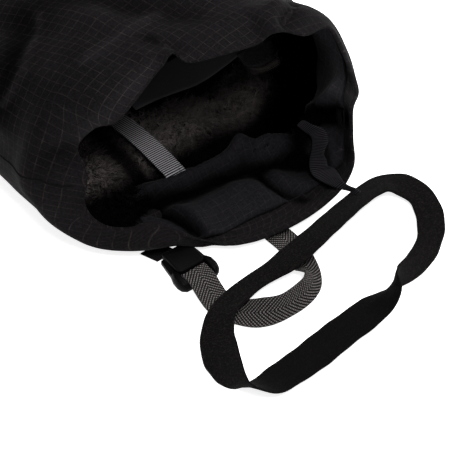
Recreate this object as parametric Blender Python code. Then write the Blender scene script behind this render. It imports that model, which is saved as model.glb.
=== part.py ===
"""Winter mitten with a long cuff, lying palm down, its cuff opening to the front.

Metres. The mitten runs along +Y from the lip of its cuff to the fingertips, X goes
across it and Z up from the surface it rests on. Tables and sizes count from the middle
of the cuff's lower lip; the finished part is moved to the middle of its base.
The cuff is soft and gapes: its upper rim lies behind its lower lip, and the lower left
side bulges over the drawn-in hem. A buckle with a pull loop hangs from the lip, a wrist
leash lies in front of it.
"""
import math

import bmesh
import bpy
import numpy as np
from mathutils import Vector
from mathutils.bvhtree import BVHTree

# Cuff mouth
CUFF_WIDTH = 0.150        # across the drawn-in rim
MOUTH_HEIGHT = 0.092      # highest point of the upper rim
LIP_REACH = 0.060         # how far the upper rim lies behind the lower lip
LIP_FRONT = -0.018        # foremost place of the lower lip
# Body of the mitten
GAUNTLET_WIDTH = 0.192
GAUNTLET_HEIGHT = 0.104
WRIST_WIDTH = 0.150
WRIST_HEIGHT = 0.084
HAND_WIDTH = 0.138
HAND_HEIGHT = 0.070
BODY_LENGTH = 0.385       # lip to fingertips
THUMB_WIDTH = 0.056
THUMB_LENGTH = 0.105
# Cloth
WALL = 0.0026             # padded shell wall
FACING_WALL = 0.0011      # hem cloth turned in
PILE = 0.0060             # pile lining wall
GAP = 0.0003              # between touching pieces
# Bands
LEASH_WIDTH = 0.0200
LEASH_WALL = 0.0017
PULL_WIDTH = 0.0150
PULL_WALL = 0.0014
STRAP_WIDTH = 0.0122
STRAP_WALL = 0.0012
STRAP_LENGTH = 0.078
TETHER_WIDTH = 0.0090
TETHER_WALL = 0.0012
# Buckle
BUCKLE_SIDE = 0.0050      # each wing beside the webbing
BUCKLE_LENGTH = 0.0240
BUCKLE_WALL = 0.0060
# Label and tab
LABEL_LENGTH = 0.086
LABEL_DEPTH = 0.026
LABEL_WALL = 0.0010
TAB_WIDTH = 0.024
TAB_DEPTH = 0.015

# One row per bend of the mouth, seen from the front and counted from the right side.
# angle: place round the cuff; rim: its place across, back and up as shares of half the
# cuff width, the lip's reach and the mouth's height; swell: where the cloth swells to
# behind the rim, in the same shares.
MOUTH_ROWS = (
    # angle, rim across, rim back, rim up, swell across, swell back, swell up
    (-90.0, -0.320, 0.308, 0.109, -0.333, 0.392, 0.060),
    (-83.0, -0.227, 0.208, 0.083, -0.233, 0.333, 0.043),
    (-76.0, -0.080, 0.108, 0.067, -0.080, 0.283, 0.035),
    (-69.0, 0.173, 0.033, 0.065, 0.173, 0.283, 0.033),
    (-60.0, 0.480, 0.008, 0.065, 0.480, 0.250, 0.028),
    (-49.0, 0.780, 0.043, 0.098, 0.813, 0.250, 0.035),
    (-36.0, 0.933, 0.067, 0.217, 1.013, 0.283, 0.120),
    (-23.0, 1.000, 0.183, 0.348, 1.093, 0.400, 0.261),
    (-11.0, 1.080, 0.333, 0.478, 1.173, 0.533, 0.424),
    (0.0, 1.160, 0.392, 0.565, 1.247, 0.617, 0.543),
    (14.0, 1.173, 0.550, 0.707, 1.280, 0.767, 0.663),
    (30.0, 1.147, 0.800, 0.859, 1.267, 1.033, 0.793),
    (46.0, 0.907, 0.775, 0.935, 0.987, 1.033, 0.989),
    (58.0, 0.667, 0.825, 1.038, 0.693, 1.083, 1.065),
    (68.0, 0.533, 0.867, 0.989, 0.560, 1.133, 1.054),
    (82.0, 0.293, 0.883, 1.016, 0.307, 1.150, 1.071),
    (93.0, 0.027, 0.983, 1.016, 0.027, 1.250, 1.076),
    (101.0, -0.067, 1.067, 1.076, -0.073, 1.333, 1.092),
    (109.0, -0.187, 1.058, 1.016, -0.213, 1.333, 1.065),
    (120.0, -0.427, 0.983, 0.935, -0.480, 1.267, 1.011),
    (135.0, -0.593, 0.983, 0.842, -0.707, 1.250, 0.946),
    (150.0, -0.680, 1.142, 0.750, -0.893, 1.350, 0.837),
    (166.0, -0.793, 1.183, 0.630, -1.093, 1.333, 0.674),
    (182.0, -0.813, 1.067, 0.500, -1.173, 1.250, 0.457),
    (192.0, -0.820, 1.050, 0.413, -1.147, 1.133, 0.337),
    (202.0, -0.833, 1.067, 0.337, -1.093, 1.017, 0.239),
    (212.0, -0.867, 1.017, 0.272, -1.027, 0.917, 0.168),
    (222.0, -0.853, 0.908, 0.223, -0.947, 0.817, 0.120),
    (231.0, -0.793, 0.783, 0.196, -0.853, 0.717, 0.098),
    (239.0, -0.687, 0.650, 0.212, -0.753, 0.617, 0.092),
    (247.0, -0.587, 0.575, 0.245, -0.653, 0.525, 0.092),
    (255.0, -0.507, 0.525, 0.228, -0.560, 0.475, 0.092),
    (263.0, -0.420, 0.433, 0.163, -0.447, 0.433, 0.087),
)

# One row per section of the body. y: share of the length; keep: how much of the
# mouth's slant is left; middle: sideways place as a share of half the width; width
# and height as shares of the gauntlet, wrist or hand; low: height of the widest place.
BODY_ROWS = (
    # y, keep, middle, part, width, height, low
    (0.098, 0.60, 0.060, "gauntlet", 0.985, 0.945, 0.42),
    (0.205, 0.40, 0.055, "gauntlet", 1.000, 1.000, 0.42),
    (0.320, 0.20, 0.050, "gauntlet", 0.960, 0.960, 0.42),
    (0.440, 0.08, 0.040, "gauntlet", 0.880, 0.880, 0.43),
    (0.560, 0.00, 0.030, "wrist", 1.000, 1.000, 0.44),
    (0.690, 0.00, 0.020, "hand", 1.000, 1.040, 0.45),
    (0.810, 0.00, 0.010, "hand", 1.000, 1.000, 0.46),
    (0.910, 0.00, 0.000, "hand", 0.870, 0.870, 0.47),
    (0.970, 0.00, 0.000, "hand", 0.610, 0.640, 0.50),
)
SIZES = {
    "gauntlet": (GAUNTLET_WIDTH, GAUNTLET_HEIGHT),
    "wrist": (WRIST_WIDTH, WRIST_HEIGHT),
    "hand": (HAND_WIDTH, HAND_HEIGHT),
}
# How many rings each stretch between two rows gets, from the rim to the fingertips.
RING_STEPS = (3, 5, 4, 3, 2, 2, 2, 2, 1, 1)
COLUMN_STEPS = 2
FACING_START = 3            # ring of the surface where the facing begins
EASE_PASSES = 10

# Dents and folds of the cloth: angle round the body, place along it as a share of the
# length, spread round it in degrees, spread along it as a share of the length, slant
# in degrees per share of length, height in metres (negative is a dent).
FOLD_ROWS = (
    # angle, y, spread_round, spread_along, slant, height
    (128.0, 0.33, 9.0, 0.110, 150.0, -0.0060),
    (146.0, 0.30, 8.0, 0.100, 160.0, 0.0040),
    (176.0, 0.26, 9.0, 0.090, 90.0, -0.0040),
    (55.0, 0.25, 6.0, 0.050, -60.0, -0.0045),
    (64.0, 0.24, 5.0, 0.055, -60.0, 0.0035),
    (101.0, 0.22, 5.0, 0.040, 60.0, 0.0030),
    (90.0, 0.52, 14.0, 0.035, 0.0, -0.0040),
    (60.0, 0.60, 14.0, 0.030, 90.0, 0.0035),
    (120.0, 0.60, 14.0, 0.030, -90.0, 0.0035),
    (20.0, 0.45, 10.0, 0.060, 80.0, -0.0040),
    (90.0, 0.72, 20.0, 0.030, 0.0, -0.0025),
)


def curve(knots, values, at):
    """Smooth curve through rows: a cubic whose slopes come from the neighbours."""
    knots = np.asarray(knots, float)
    values = np.asarray(values, float)
    slopes = np.gradient(values, knots, axis=0)
    k = np.clip(np.searchsorted(knots, at, side="right") - 1, 0, len(knots) - 2)
    span = knots[k + 1] - knots[k]
    t = (at - knots[k]) / span
    h00 = 2 * t**3 - 3 * t**2 + 1
    h10 = t**3 - 2 * t**2 + t
    h01 = -2 * t**3 + 3 * t**2
    h11 = t**3 - t**2
    return h00 * values[k] + h10 * span * slopes[k] + h01 * values[k + 1] + h11 * span * slopes[k + 1]


def power(value, exponent):
    return math.copysign(abs(value) ** exponent, value)


def mouth_columns(steps):
    """The mouth's rows, with further columns between them, all the way round."""
    rows = np.array(MOUTH_ROWS)
    count = len(rows)
    before = rows[-3:].copy()
    before[:, 0] -= 360.0
    after = rows[:3].copy()
    after[:, 0] += 360.0
    ring = np.vstack([before, rows, after])
    knots = np.arange(len(ring)) - 3.0
    return [curve(knots, ring, i / steps) for i in range(count * steps)]


def section_point(angle, row):
    """Point of a body section at an angle: round above, flattened where it rests."""
    share_y, keep, middle, part, share_w, share_h, low = row
    full_w, full_h = SIZES[part]
    half = share_w * full_w / 2
    high = share_h * full_h
    c = math.cos(math.radians(angle))
    s = math.sin(math.radians(angle))
    widest = low * high
    x = middle * half + half * power(c, 0.86 if s > 0 else 0.74)
    if s > 0:
        z = widest + (high - widest) * power(s, 0.92)
    else:
        z = widest + (widest * 1.06) * power(s, 0.74)
    return np.array([x, share_y * BODY_LENGTH, max(z, 0.0)])


def body_surface(column_steps, ring_steps):
    """Outer surface of cuff and hand as rings of points, rim first, then a tip point."""
    columns = mouth_columns(column_steps)
    scale = np.array([CUFF_WIDTH / 2, LIP_REACH, MOUTH_HEIGHT])
    lip = np.array([0.0, LIP_FRONT, 0.0])
    grid = []
    for column in columns:
        angle = column[0]
        rim = lip + column[1:4] * scale
        bulge = lip + column[4:7] * scale
        slant = rim[1] - LIP_FRONT
        line = [rim, bulge]
        for row in BODY_ROWS:
            point = section_point(angle, row)
            point[1] += row[1] * slant
            line.append(point)
        line = np.array(line)
        tip = np.array([line[-1][0] * 0.0, BODY_LENGTH, HAND_HEIGHT * 0.30])
        line = np.vstack([line, tip])
        knots = np.arange(len(line), dtype=float)
        at = []
        for k, steps in enumerate(ring_steps):
            at += [k + j / steps for j in range(steps)]
        points = [curve(knots, line, v) for v in at]
        grid.append(points)
    grid = np.array(grid).transpose(1, 0, 2)
    angles = np.array([c[0] for c in columns])
    grid = folded(grid, angles)
    grid[:, :, 2] = np.maximum(grid[:, :, 2], 0.0)
    return grid, angles


def folded(grid, angles):
    """Adds the dents and folds along the surface's own normals."""
    normals = grid_normals(grid)
    share = grid[:, :, 1] / BODY_LENGTH
    lift = np.zeros(share.shape)
    for angle, y, spread_round, spread_along, slant, height in FOLD_ROWS:
        centre = angle + (share - y) * slant
        turn = (angles[None, :] - centre + 180.0) % 360.0 - 180.0
        lift += height * np.exp(-(turn / spread_round) ** 2 - ((share - y) / spread_along) ** 2)
    return grid + normals * lift[:, :, None]


def grid_normals(grid):
    """Outward unit normals of a ring grid that closes on itself sideways."""
    round_way = np.roll(grid, -1, axis=1) - np.roll(grid, 1, axis=1)
    along = np.empty_like(grid)
    along[1:-1] = grid[2:] - grid[:-2]
    along[0] = grid[1] - grid[0]
    along[-1] = grid[-1] - grid[-2]
    normal = np.cross(along, round_way)
    length = np.linalg.norm(normal, axis=2, keepdims=True)
    return normal / np.maximum(length, 1e-12)


def eased(normals):
    """Normals averaged with their neighbours, so that depths under a tight fold stay apart."""
    for _ in range(EASE_PASSES):
        side = np.roll(normals, 1, axis=1) + np.roll(normals, -1, axis=1)
        along = normals.copy()
        along[1:-1] = (normals[2:] + normals[:-2]) / 2
        normals = normals + side + along
        normals = normals / np.linalg.norm(normals, axis=2, keepdims=True)
    return normals


def grid_along(grid):
    along = grid[1] - grid[0]
    return along / np.linalg.norm(along, axis=1, keepdims=True)


def new_object(name, verts, faces, smooth=True):
    mesh = bpy.data.meshes.new(name)
    mesh.from_pydata([tuple(v) for v in verts], [], faces)
    mesh.update()
    work = bmesh.new()
    work.from_mesh(mesh)
    bmesh.ops.recalc_face_normals(work, faces=work.faces)
    if work.calc_volume(signed=True) < 0:
        bmesh.ops.reverse_faces(work, faces=work.faces)
    work.to_mesh(mesh)
    work.free()
    for face in mesh.polygons:
        face.use_smooth = smooth
    thing = bpy.data.objects.new(name, mesh)
    bpy.context.scene.collection.objects.link(thing)
    return thing


def ring_faces(count, one, two, split):
    """Faces between two rings of points, as quads or split along one diagonal."""
    faces = []
    for i in range(count):
        j = (i + 1) % count
        if split:
            faces.append((one + i, one + j, two + j))
            faces.append((one + i, two + j, two + i))
        else:
            faces.append((one + i, one + j, two + j, two + i))
    return faces


def loft(name, rings, smooth=True, split=False, flat_ends=False):
    """Closed solid through rings of equal count, with fans or flat faces as its ends."""
    count = len(rings[0])
    verts = [p for ring in rings for p in ring]
    faces = []
    for r in range(len(rings) - 1):
        faces += ring_faces(count, r * count, (r + 1) * count, split)
    for base, ring in ((0, rings[0]), ((len(rings) - 1) * count, rings[-1])):
        if flat_ends:
            faces.append(tuple(range(base, base + count)))
            continue
        verts.append(np.mean(ring, axis=0))
        hub = len(verts) - 1
        for i in range(count):
            faces.append((base + i, base + (i + 1) % count, hub))
    return new_object(name, verts, faces, smooth)


def tube_wall(name, outer, inner, smooth=True):
    """Closed band: outer and inner rings joined at both open ends."""
    rings = list(outer) + list(inner)[::-1]
    count = len(rings[0])
    verts = [p for ring in rings for p in ring]
    faces = []
    for r in range(len(rings)):
        faces += ring_faces(count, r * count, (r + 1) % len(rings) * count, True)
    return new_object(name, verts, faces, smooth)


def combine(target, other, operation, folded_cloth=False):
    """Joins or cuts target with other, which is then removed."""
    step = target.modifiers.new("step", "BOOLEAN")
    step.operation = operation
    step.solver = "EXACT"
    step.use_self = folded_cloth
    step.object = other
    bpy.context.view_layer.update()
    graph = bpy.context.evaluated_depsgraph_get()
    mesh = bpy.data.meshes.new_from_object(target.evaluated_get(graph))
    target.modifiers.clear()
    old = target.data
    target.data = mesh
    bpy.data.meshes.remove(old)
    bpy.data.objects.remove(other)
    for face in target.data.polygons:
        face.use_smooth = True
    return target


THUMB_ROWS = (
    # share of the thumb's length, share of its width
    (0.0, 0.98),
    (0.25, 1.0),
    (0.5, 1.02),
    (0.7, 0.98),
    (0.85, 0.86),
    (0.95, 0.62),
    (0.995, 0.28),
)


def thumb_rings(shrink, count):
    """Rings of the thumb, from inside the hand to its rounded tip."""
    base = np.array([HAND_WIDTH * 0.14, BODY_LENGTH * 0.555, HAND_HEIGHT * 0.44])
    tip = base + np.array([0.74, 0.98, -0.06]) / 1.23 * (THUMB_LENGTH + HAND_WIDTH * 0.28)
    line = tip - base
    length = np.linalg.norm(line)
    line = line / length
    side = np.cross(line, np.array([0.0, 0.0, 1.0]))
    side = side / np.linalg.norm(side)
    up = np.cross(side, line)
    rings = []
    for share, wide in THUMB_ROWS:
        centre = base + line * (length - shrink) * share
        half_w = wide * THUMB_WIDTH / 2 - shrink * min(1.0, wide * 1.1)
        half_h = wide * THUMB_WIDTH * 0.46 - shrink * min(1.0, wide * 1.1)
        ring = []
        for i in range(count):
            turn = 2 * math.pi * i / count
            ring.append(centre + side * half_w * math.cos(turn) + up * half_h * math.sin(turn))
        rings.append(np.array(ring))
    return rings


def hollow(name, fine, plain, first, outer_depth, inner_depth, curl, reach):
    """Sock between two depths under the surface, open at its first ring."""
    grid, normals = fine
    plain_grid, plain_normals = plain
    along = grid_along(grid[first:first + 2])
    wall = inner_depth - outer_depth
    outside = grid[first:] - normals[first:] * outer_depth
    inside = plain_grid[first:] - plain_normals[first:] * inner_depth
    start = outside[0]
    edge = normals[first]
    roll = [
        start - edge * wall * 1.6 + along * wall * 0.6,
        start - edge * wall * 1.05 - along * curl * 0.25,
        start - edge * wall * 0.5 - along * curl * 0.5,
    ]
    tip = np.array([0.0, BODY_LENGTH - outer_depth, HAND_HEIGHT * 0.30])
    shell = loft(name, roll + list(outside) + [tip + (outside[-1] - tip) * 0.25], True, True)
    mouth = inside[0] + reach
    inner_tip = tip - np.array([0.0, wall, 0.0])
    end = inner_tip + (inside[-1] - inner_tip) * 0.25
    cutter = loft(name + "_hollow", [mouth] + list(inside) + [end], True, True)
    thumb = loft(name + "_thumb", thumb_rings(outer_depth, 16))
    thumb_cut = loft(name + "_thumb_hollow", thumb_rings(inner_depth, 16))
    combine(shell, thumb, "UNION", True)
    combine(cutter, thumb_cut, "UNION", True)
    return combine(shell, cutter, "DIFFERENCE", True)


def ribbon(name, low_edge, high_edge, thick, closed, smooth=False):
    """Flat band between two edge lines, thick to either side of it."""
    low_edge = np.asarray(low_edge)
    high_edge = np.asarray(high_edge)
    middle = (low_edge + high_edge) / 2
    if closed:
        along = np.roll(middle, -1, axis=0) - np.roll(middle, 1, axis=0)
    else:
        along = np.gradient(middle, axis=0)
    across = high_edge - low_edge
    face = np.cross(along, across)
    face = face / np.linalg.norm(face, axis=1, keepdims=True) * thick / 2
    corners = [low_edge + face, high_edge + face, high_edge - face, low_edge - face]
    rings = [np.array([c[i] for c in corners]) for i in range(len(low_edge))]
    if not closed:
        return loft(name, rings, smooth)
    verts = [p for ring in rings for p in ring]
    faces = []
    for r in range(len(rings)):
        faces += ring_faces(4, r * 4, (r + 1) % len(rings) * 4, False)
    return new_object(name, verts, faces, smooth)


class LiningBed:
    """Finds the height of the lining's lower wall, for the pieces that lie on it."""

    def __init__(self, lining):
        work = bmesh.new()
        work.from_mesh(lining.data)
        self.tree = BVHTree.FromBMesh(work)
        work.free()

    def place(self, x, y, wall):
        hit = self.tree.ray_cast(Vector((x, y, GAUNTLET_HEIGHT * 0.45)), Vector((0.0, 0.0, -1.0)))[0]
        height = hit.z if hit else WALL + PILE
        return np.array([x, y, height + GAP + wall * 0.75])


def painted(thing, colour, roughness):
    finish = bpy.data.materials.new(thing.name + "_finish")
    finish.use_nodes = True
    shader = finish.node_tree.nodes["Principled BSDF"]
    shader.inputs["Base Color"].default_value = (*colour, 1.0)
    shader.inputs["Roughness"].default_value = roughness
    thing.data.materials.clear()
    thing.data.materials.append(finish)
    return thing


# Wrist leash: one row per bend of its lower edge. across and forward: place as shares
# of the laid loop's half length and half depth round its middle; lift: height of the
# lower edge in band walls; toward: compass direction that the band tips to, in degrees
# from +X; lean: how far it tips, in degrees from upright.
LEASH_LENGTH = 0.172
LEASH_DEPTH = 0.070
LEASH_MIDDLE = (0.0198, -0.0485)
LEASH_ROWS = (
    # across, forward, lift, toward, lean
    (-0.735, 0.360, 2.4, -31.0, 76.0),
    (-0.640, 0.450, 2.4, -34.0, 78.0),
    (-0.536, 0.500, 2.5, -36.0, 80.0),
    (-0.412, 0.540, 2.7, -46.0, 79.0),
    (-0.262, 0.557, 2.8, -60.0, 71.0),
    (0.034, 0.680, 3.0, -77.0, 65.0),
    (0.357, 0.854, 1.8, -94.0, 62.0),
    (0.567, 0.968, 1.0, -101.0, 64.0),
    (0.722, 1.005, 0.8, -113.0, 68.0),
    (0.842, 0.930, 0.8, -128.0, 70.0),
    (0.945, 0.754, 0.8, -144.0, 80.0),
    (0.990, 0.480, 0.8, -153.0, 84.0),
    (0.985, 0.200, 0.8, -165.0, 85.0),
    (0.935, -0.130, 0.8, -175.0, 84.0),
    (0.841, -0.457, 0.8, -184.0, 80.0),
    (0.735, -0.671, 0.8, -191.8, 71.5),
    (0.624, -0.826, 0.8, -195.5, 60.5),
    (0.506, -0.915, 0.8, -195.5, 47.0),
    (0.409, -0.952, 0.8, -193.8, 34.0),
    (0.346, -0.949, 0.8, -187.2, 22.8),
    (0.301, -0.928, 0.8, -166.5, 14.8),
    (0.259, -0.899, 0.8, -130.5, 14.5),
    (0.219, -0.869, 0.8, -97.8, 24.2),
    (0.177, -0.836, 0.8, -82.0, 40.2),
    (0.118, -0.801, 0.8, -80.2, 57.5),
    (0.040, -0.770, 0.8, -86.0, 74.0),
    (-0.080, -0.785, 0.8, -92.0, 81.0),
    (-0.205, -0.800, 0.8, -94.0, 84.0),
    (-0.437, -0.875, 0.8, -94.0, 82.0),
    (-0.565, -0.900, 0.8, -93.0, 81.0),
    (-0.690, -0.920, 0.8, -93.0, 78.0),
    (-0.786, -0.962, 0.8, -97.0, 66.0),
    (-0.856, -0.970, 0.8, -104.0, 48.0),
    (-0.915, -0.950, 0.8, -98.0, 36.0),
    (-0.965, -0.890, 0.8, -74.0, 33.0),
    (-0.996, -0.745, 0.8, -47.0, 38.0),
    (-0.999, -0.566, 0.8, -29.0, 48.0),
    (-0.985, -0.375, 0.8, -14.0, 58.0),
    (-0.948, -0.157, 0.8, -14.0, 64.0),
    (-0.888, 0.070, 1.4, -18.0, 68.0),
    (-0.815, 0.240, 2.2, -24.0, 72.0),
)

# Pull loop: the same columns in metres from the middle of the lip's buckle; it comes
# out of the buckle flat, stands up on its edge round the front and returns flat.
PULL_REACH = 0.050
PULL_SPAN = 0.068
PULL_START = (-0.0414, -0.0127)
PULL_ROWS = (
    # across, forward, lift, toward, lean
    (0.000, 0.122, 1.75, -2.0, 88.5),
    (0.000, 0.064, 2.80, -2.0, 88.5),
    (0.000, 0.014, 2.95, -2.0, 88.5),
    (-0.002, -0.096, 2.95, -3.0, 88.5),
    (-0.010, -0.186, 2.00, -5.0, 88.5),
    (-0.018, -0.286, 1.20, -5.0, 88.5),
    (-0.025, -0.400, 0.92, -2.0, 88.0),
    (-0.018, -0.500, 0.90, 8.0, 87.0),
    (0.010, -0.600, 0.9, 20.0, 86.0),
    (0.075, -0.760, 0.9, 40.0, 80.0),
    (0.160, -0.890, 0.9, 52.0, 62.0),
    (0.255, -0.960, 0.9, 58.0, 40.0),
    (0.345, -0.990, 0.9, 62.0, 28.0),
    (0.440, -1.000, 0.9, 66.0, 28.0),
    (0.575, -0.996, 0.9, 90.0, 28.0),
    (0.705, -0.955, 0.9, 117.0, 29.0),
    (0.815, -0.865, 0.9, 135.0, 42.0),
    (0.905, -0.690, 0.9, 156.0, 74.0),
    (0.965, -0.440, 0.9, 172.0, 85.0),
    (0.985, -0.200, 0.9, 186.0, 88.0),
    (0.970, 0.060, 0.9, 190.0, 88.0),
)

# Leash tether: thin strap twisting out of the cuff over the lip. Metres.
TETHER_ROWS = (
    # x, y, z, toward, lean, width share
    (0.0701, 0.0350, 0.0122, -18.4, 43.9, 0.55),
    (0.0702, 0.0298, 0.0124, -60.1, 29.5, 0.75),
    (0.0710, 0.0254, 0.0122, -62.4, 47.9, 0.95),
    (0.0701, 0.0217, 0.0118, -78.5, 56.9, 1.00),
    (0.0674, 0.0183, 0.0114, -87.7, 56.6, 0.95),
    (0.0645, 0.0153, 0.0109, -92.5, 54.5, 0.95),
    (0.0600, 0.0114, 0.0106, -78.6, 56.1, 1.00),
    (0.0564, 0.0069, 0.0102, -69.0, 57.2, 1.00),
    (0.0541, 0.0010, 0.0102, -39.9, 61.5, 1.00),
    (0.0552, -0.0069, 0.0106, -41.9, 47.7, 0.85),
    (0.0563, -0.0155, 0.0132, -48.7, 33.7, 0.60),
    (0.0598, -0.0185, 0.0120, -50.9, 31.7, 0.42),
    (0.0639, -0.0194, 0.0086, -44.9, 33.2, 0.40),
    (0.0659, -0.0221, 0.0072, -44.8, 33.0, 0.40),
)


def tip_way(toward, lean):
    """Unit direction from a band's lower edge to its upper edge."""
    turn = math.radians(toward)
    tilt = math.radians(lean)
    return np.array([math.sin(tilt) * math.cos(turn), math.sin(tilt) * math.sin(turn), math.cos(tilt)])


def band_edges(low_rows, ways, widths, closed, steps):
    """Both edge lines of a band, smooth through its rows and of constant width."""
    rows = np.column_stack([low_rows, ways, widths])
    if closed:
        ring = np.vstack([rows[-3:], rows, rows[:3]])
        knots = np.arange(len(ring)) - 3.0
        at = [i / steps for i in range(len(rows) * steps)]
    else:
        ring = rows
        knots = np.arange(len(ring), dtype=float)
        at = [i / steps for i in range((len(rows) - 1) * steps + 1)]
    samples = np.array([curve(knots, ring, t) for t in at])
    low = samples[:, :3]
    way = samples[:, 3:6]
    way = way / np.linalg.norm(way, axis=1, keepdims=True)
    return low, low + way * samples[:, 6:7]


def leash_edges(steps):
    rows = np.array(LEASH_ROWS)
    low = np.column_stack([
        LEASH_MIDDLE[0] + rows[:, 0] * LEASH_LENGTH / 2,
        LEASH_MIDDLE[1] + rows[:, 1] * LEASH_DEPTH / 2,
        rows[:, 2] * LEASH_WALL,
    ])
    ways = np.array([tip_way(r[3], r[4]) for r in LEASH_ROWS])
    return band_edges(low, ways, np.full(len(rows), LEASH_WIDTH), True, steps)


def pull_edges(steps):
    rows = np.array(PULL_ROWS)
    low = np.column_stack([
        PULL_START[0] + rows[:, 0] * PULL_SPAN,
        PULL_START[1] + rows[:, 1] * PULL_REACH,
        rows[:, 2] * PULL_WALL,
    ])
    ways = np.array([tip_way(r[3], r[4]) for r in PULL_ROWS])
    return band_edges(low, ways, np.full(len(rows), PULL_WIDTH), False, steps)


def tether_edges(steps):
    rows = np.array(TETHER_ROWS)
    ways = np.array([tip_way(r[3], r[4]) for r in TETHER_ROWS])
    return band_edges(rows[:, :3], ways, rows[:, 5] * TETHER_WIDTH, False, steps)


# Buckle outline, from the end under the lip to the front bar: place along as a share of
# its length, side wing beside the webbing and top as shares, and how far the middle lies
# below its wings.
BUCKLE_ROWS = (
    # along, side, top, sunk
    (0.00, 0.45, 0.45, 0.05),
    (0.14, 0.55, 0.72, 0.08),
    (0.32, 0.60, 0.86, 0.10),
    (0.48, 0.75, 0.95, 0.12),
    (0.62, 1.00, 1.00, 0.45),
    (0.78, 1.05, 0.98, 0.58),
    (0.90, 0.95, 0.86, 0.54),
    (0.97, 0.75, 0.70, 0.50),
    (1.00, 0.50, 0.48, 0.40),
)
BUCKLE_MIDDLE = -0.0340
BUCKLE_REAR = 0.0060


def buckle_solid():
    rings = []
    for along, side, top, sunk in BUCKLE_ROWS:
        y = BUCKLE_REAR - along * BUCKLE_LENGTH
        w = PULL_WIDTH / 2 + side * BUCKLE_SIDE
        t = top * BUCKLE_WALL
        low = t * (1.0 - sunk)
        channel = PULL_WIDTH * 0.57
        slope = (w - channel) * 0.3
        ring = [
            (-w, 0.22 * t), (-w * 0.94, 0.0), (w * 0.94, 0.0), (w, 0.22 * t), (w, 0.75 * t),
            (w - slope, t), (channel + slope, t * 0.98), (channel, low), (0.0, low),
            (-channel, low), (-channel - slope, t * 0.98), (slope - w, t), (-w, 0.75 * t),
        ]
        rings.append(np.array([(BUCKLE_MIDDLE + x, y, 0.0006 + z) for x, z in ring]))
    body = loft("buckle", rings, True, False, True)
    slot_x = PULL_WIDTH * 0.545
    near = BUCKLE_REAR - 0.49 * BUCKLE_LENGTH
    far = BUCKLE_REAR - 0.73 * BUCKLE_LENGTH
    slot = [(-slot_x, far), (slot_x, far), (slot_x, near), (-slot_x, near)]
    low = np.array([(BUCKLE_MIDDLE + x, y, -BUCKLE_WALL) for x, y in slot])
    high = np.array([(BUCKLE_MIDDLE + x, y, BUCKLE_WALL * 2) for x, y in slot])
    return combine(body, loft("buckle_slot", [low, high], False), "DIFFERENCE")


def centred():
    """Moves the origin to the middle of the part's base."""
    things = list(bpy.data.objects)
    points = np.array([v.co for thing in things for v in thing.data.vertices])
    low = points.min(axis=0)
    high = points.max(axis=0)
    shift = Vector((-(low[0] + high[0]) / 2, -(low[1] + high[1]) / 2, -low[2]))
    for thing in things:
        for vertex in thing.data.vertices:
            vertex.co += shift
        thing.data.update()


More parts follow.
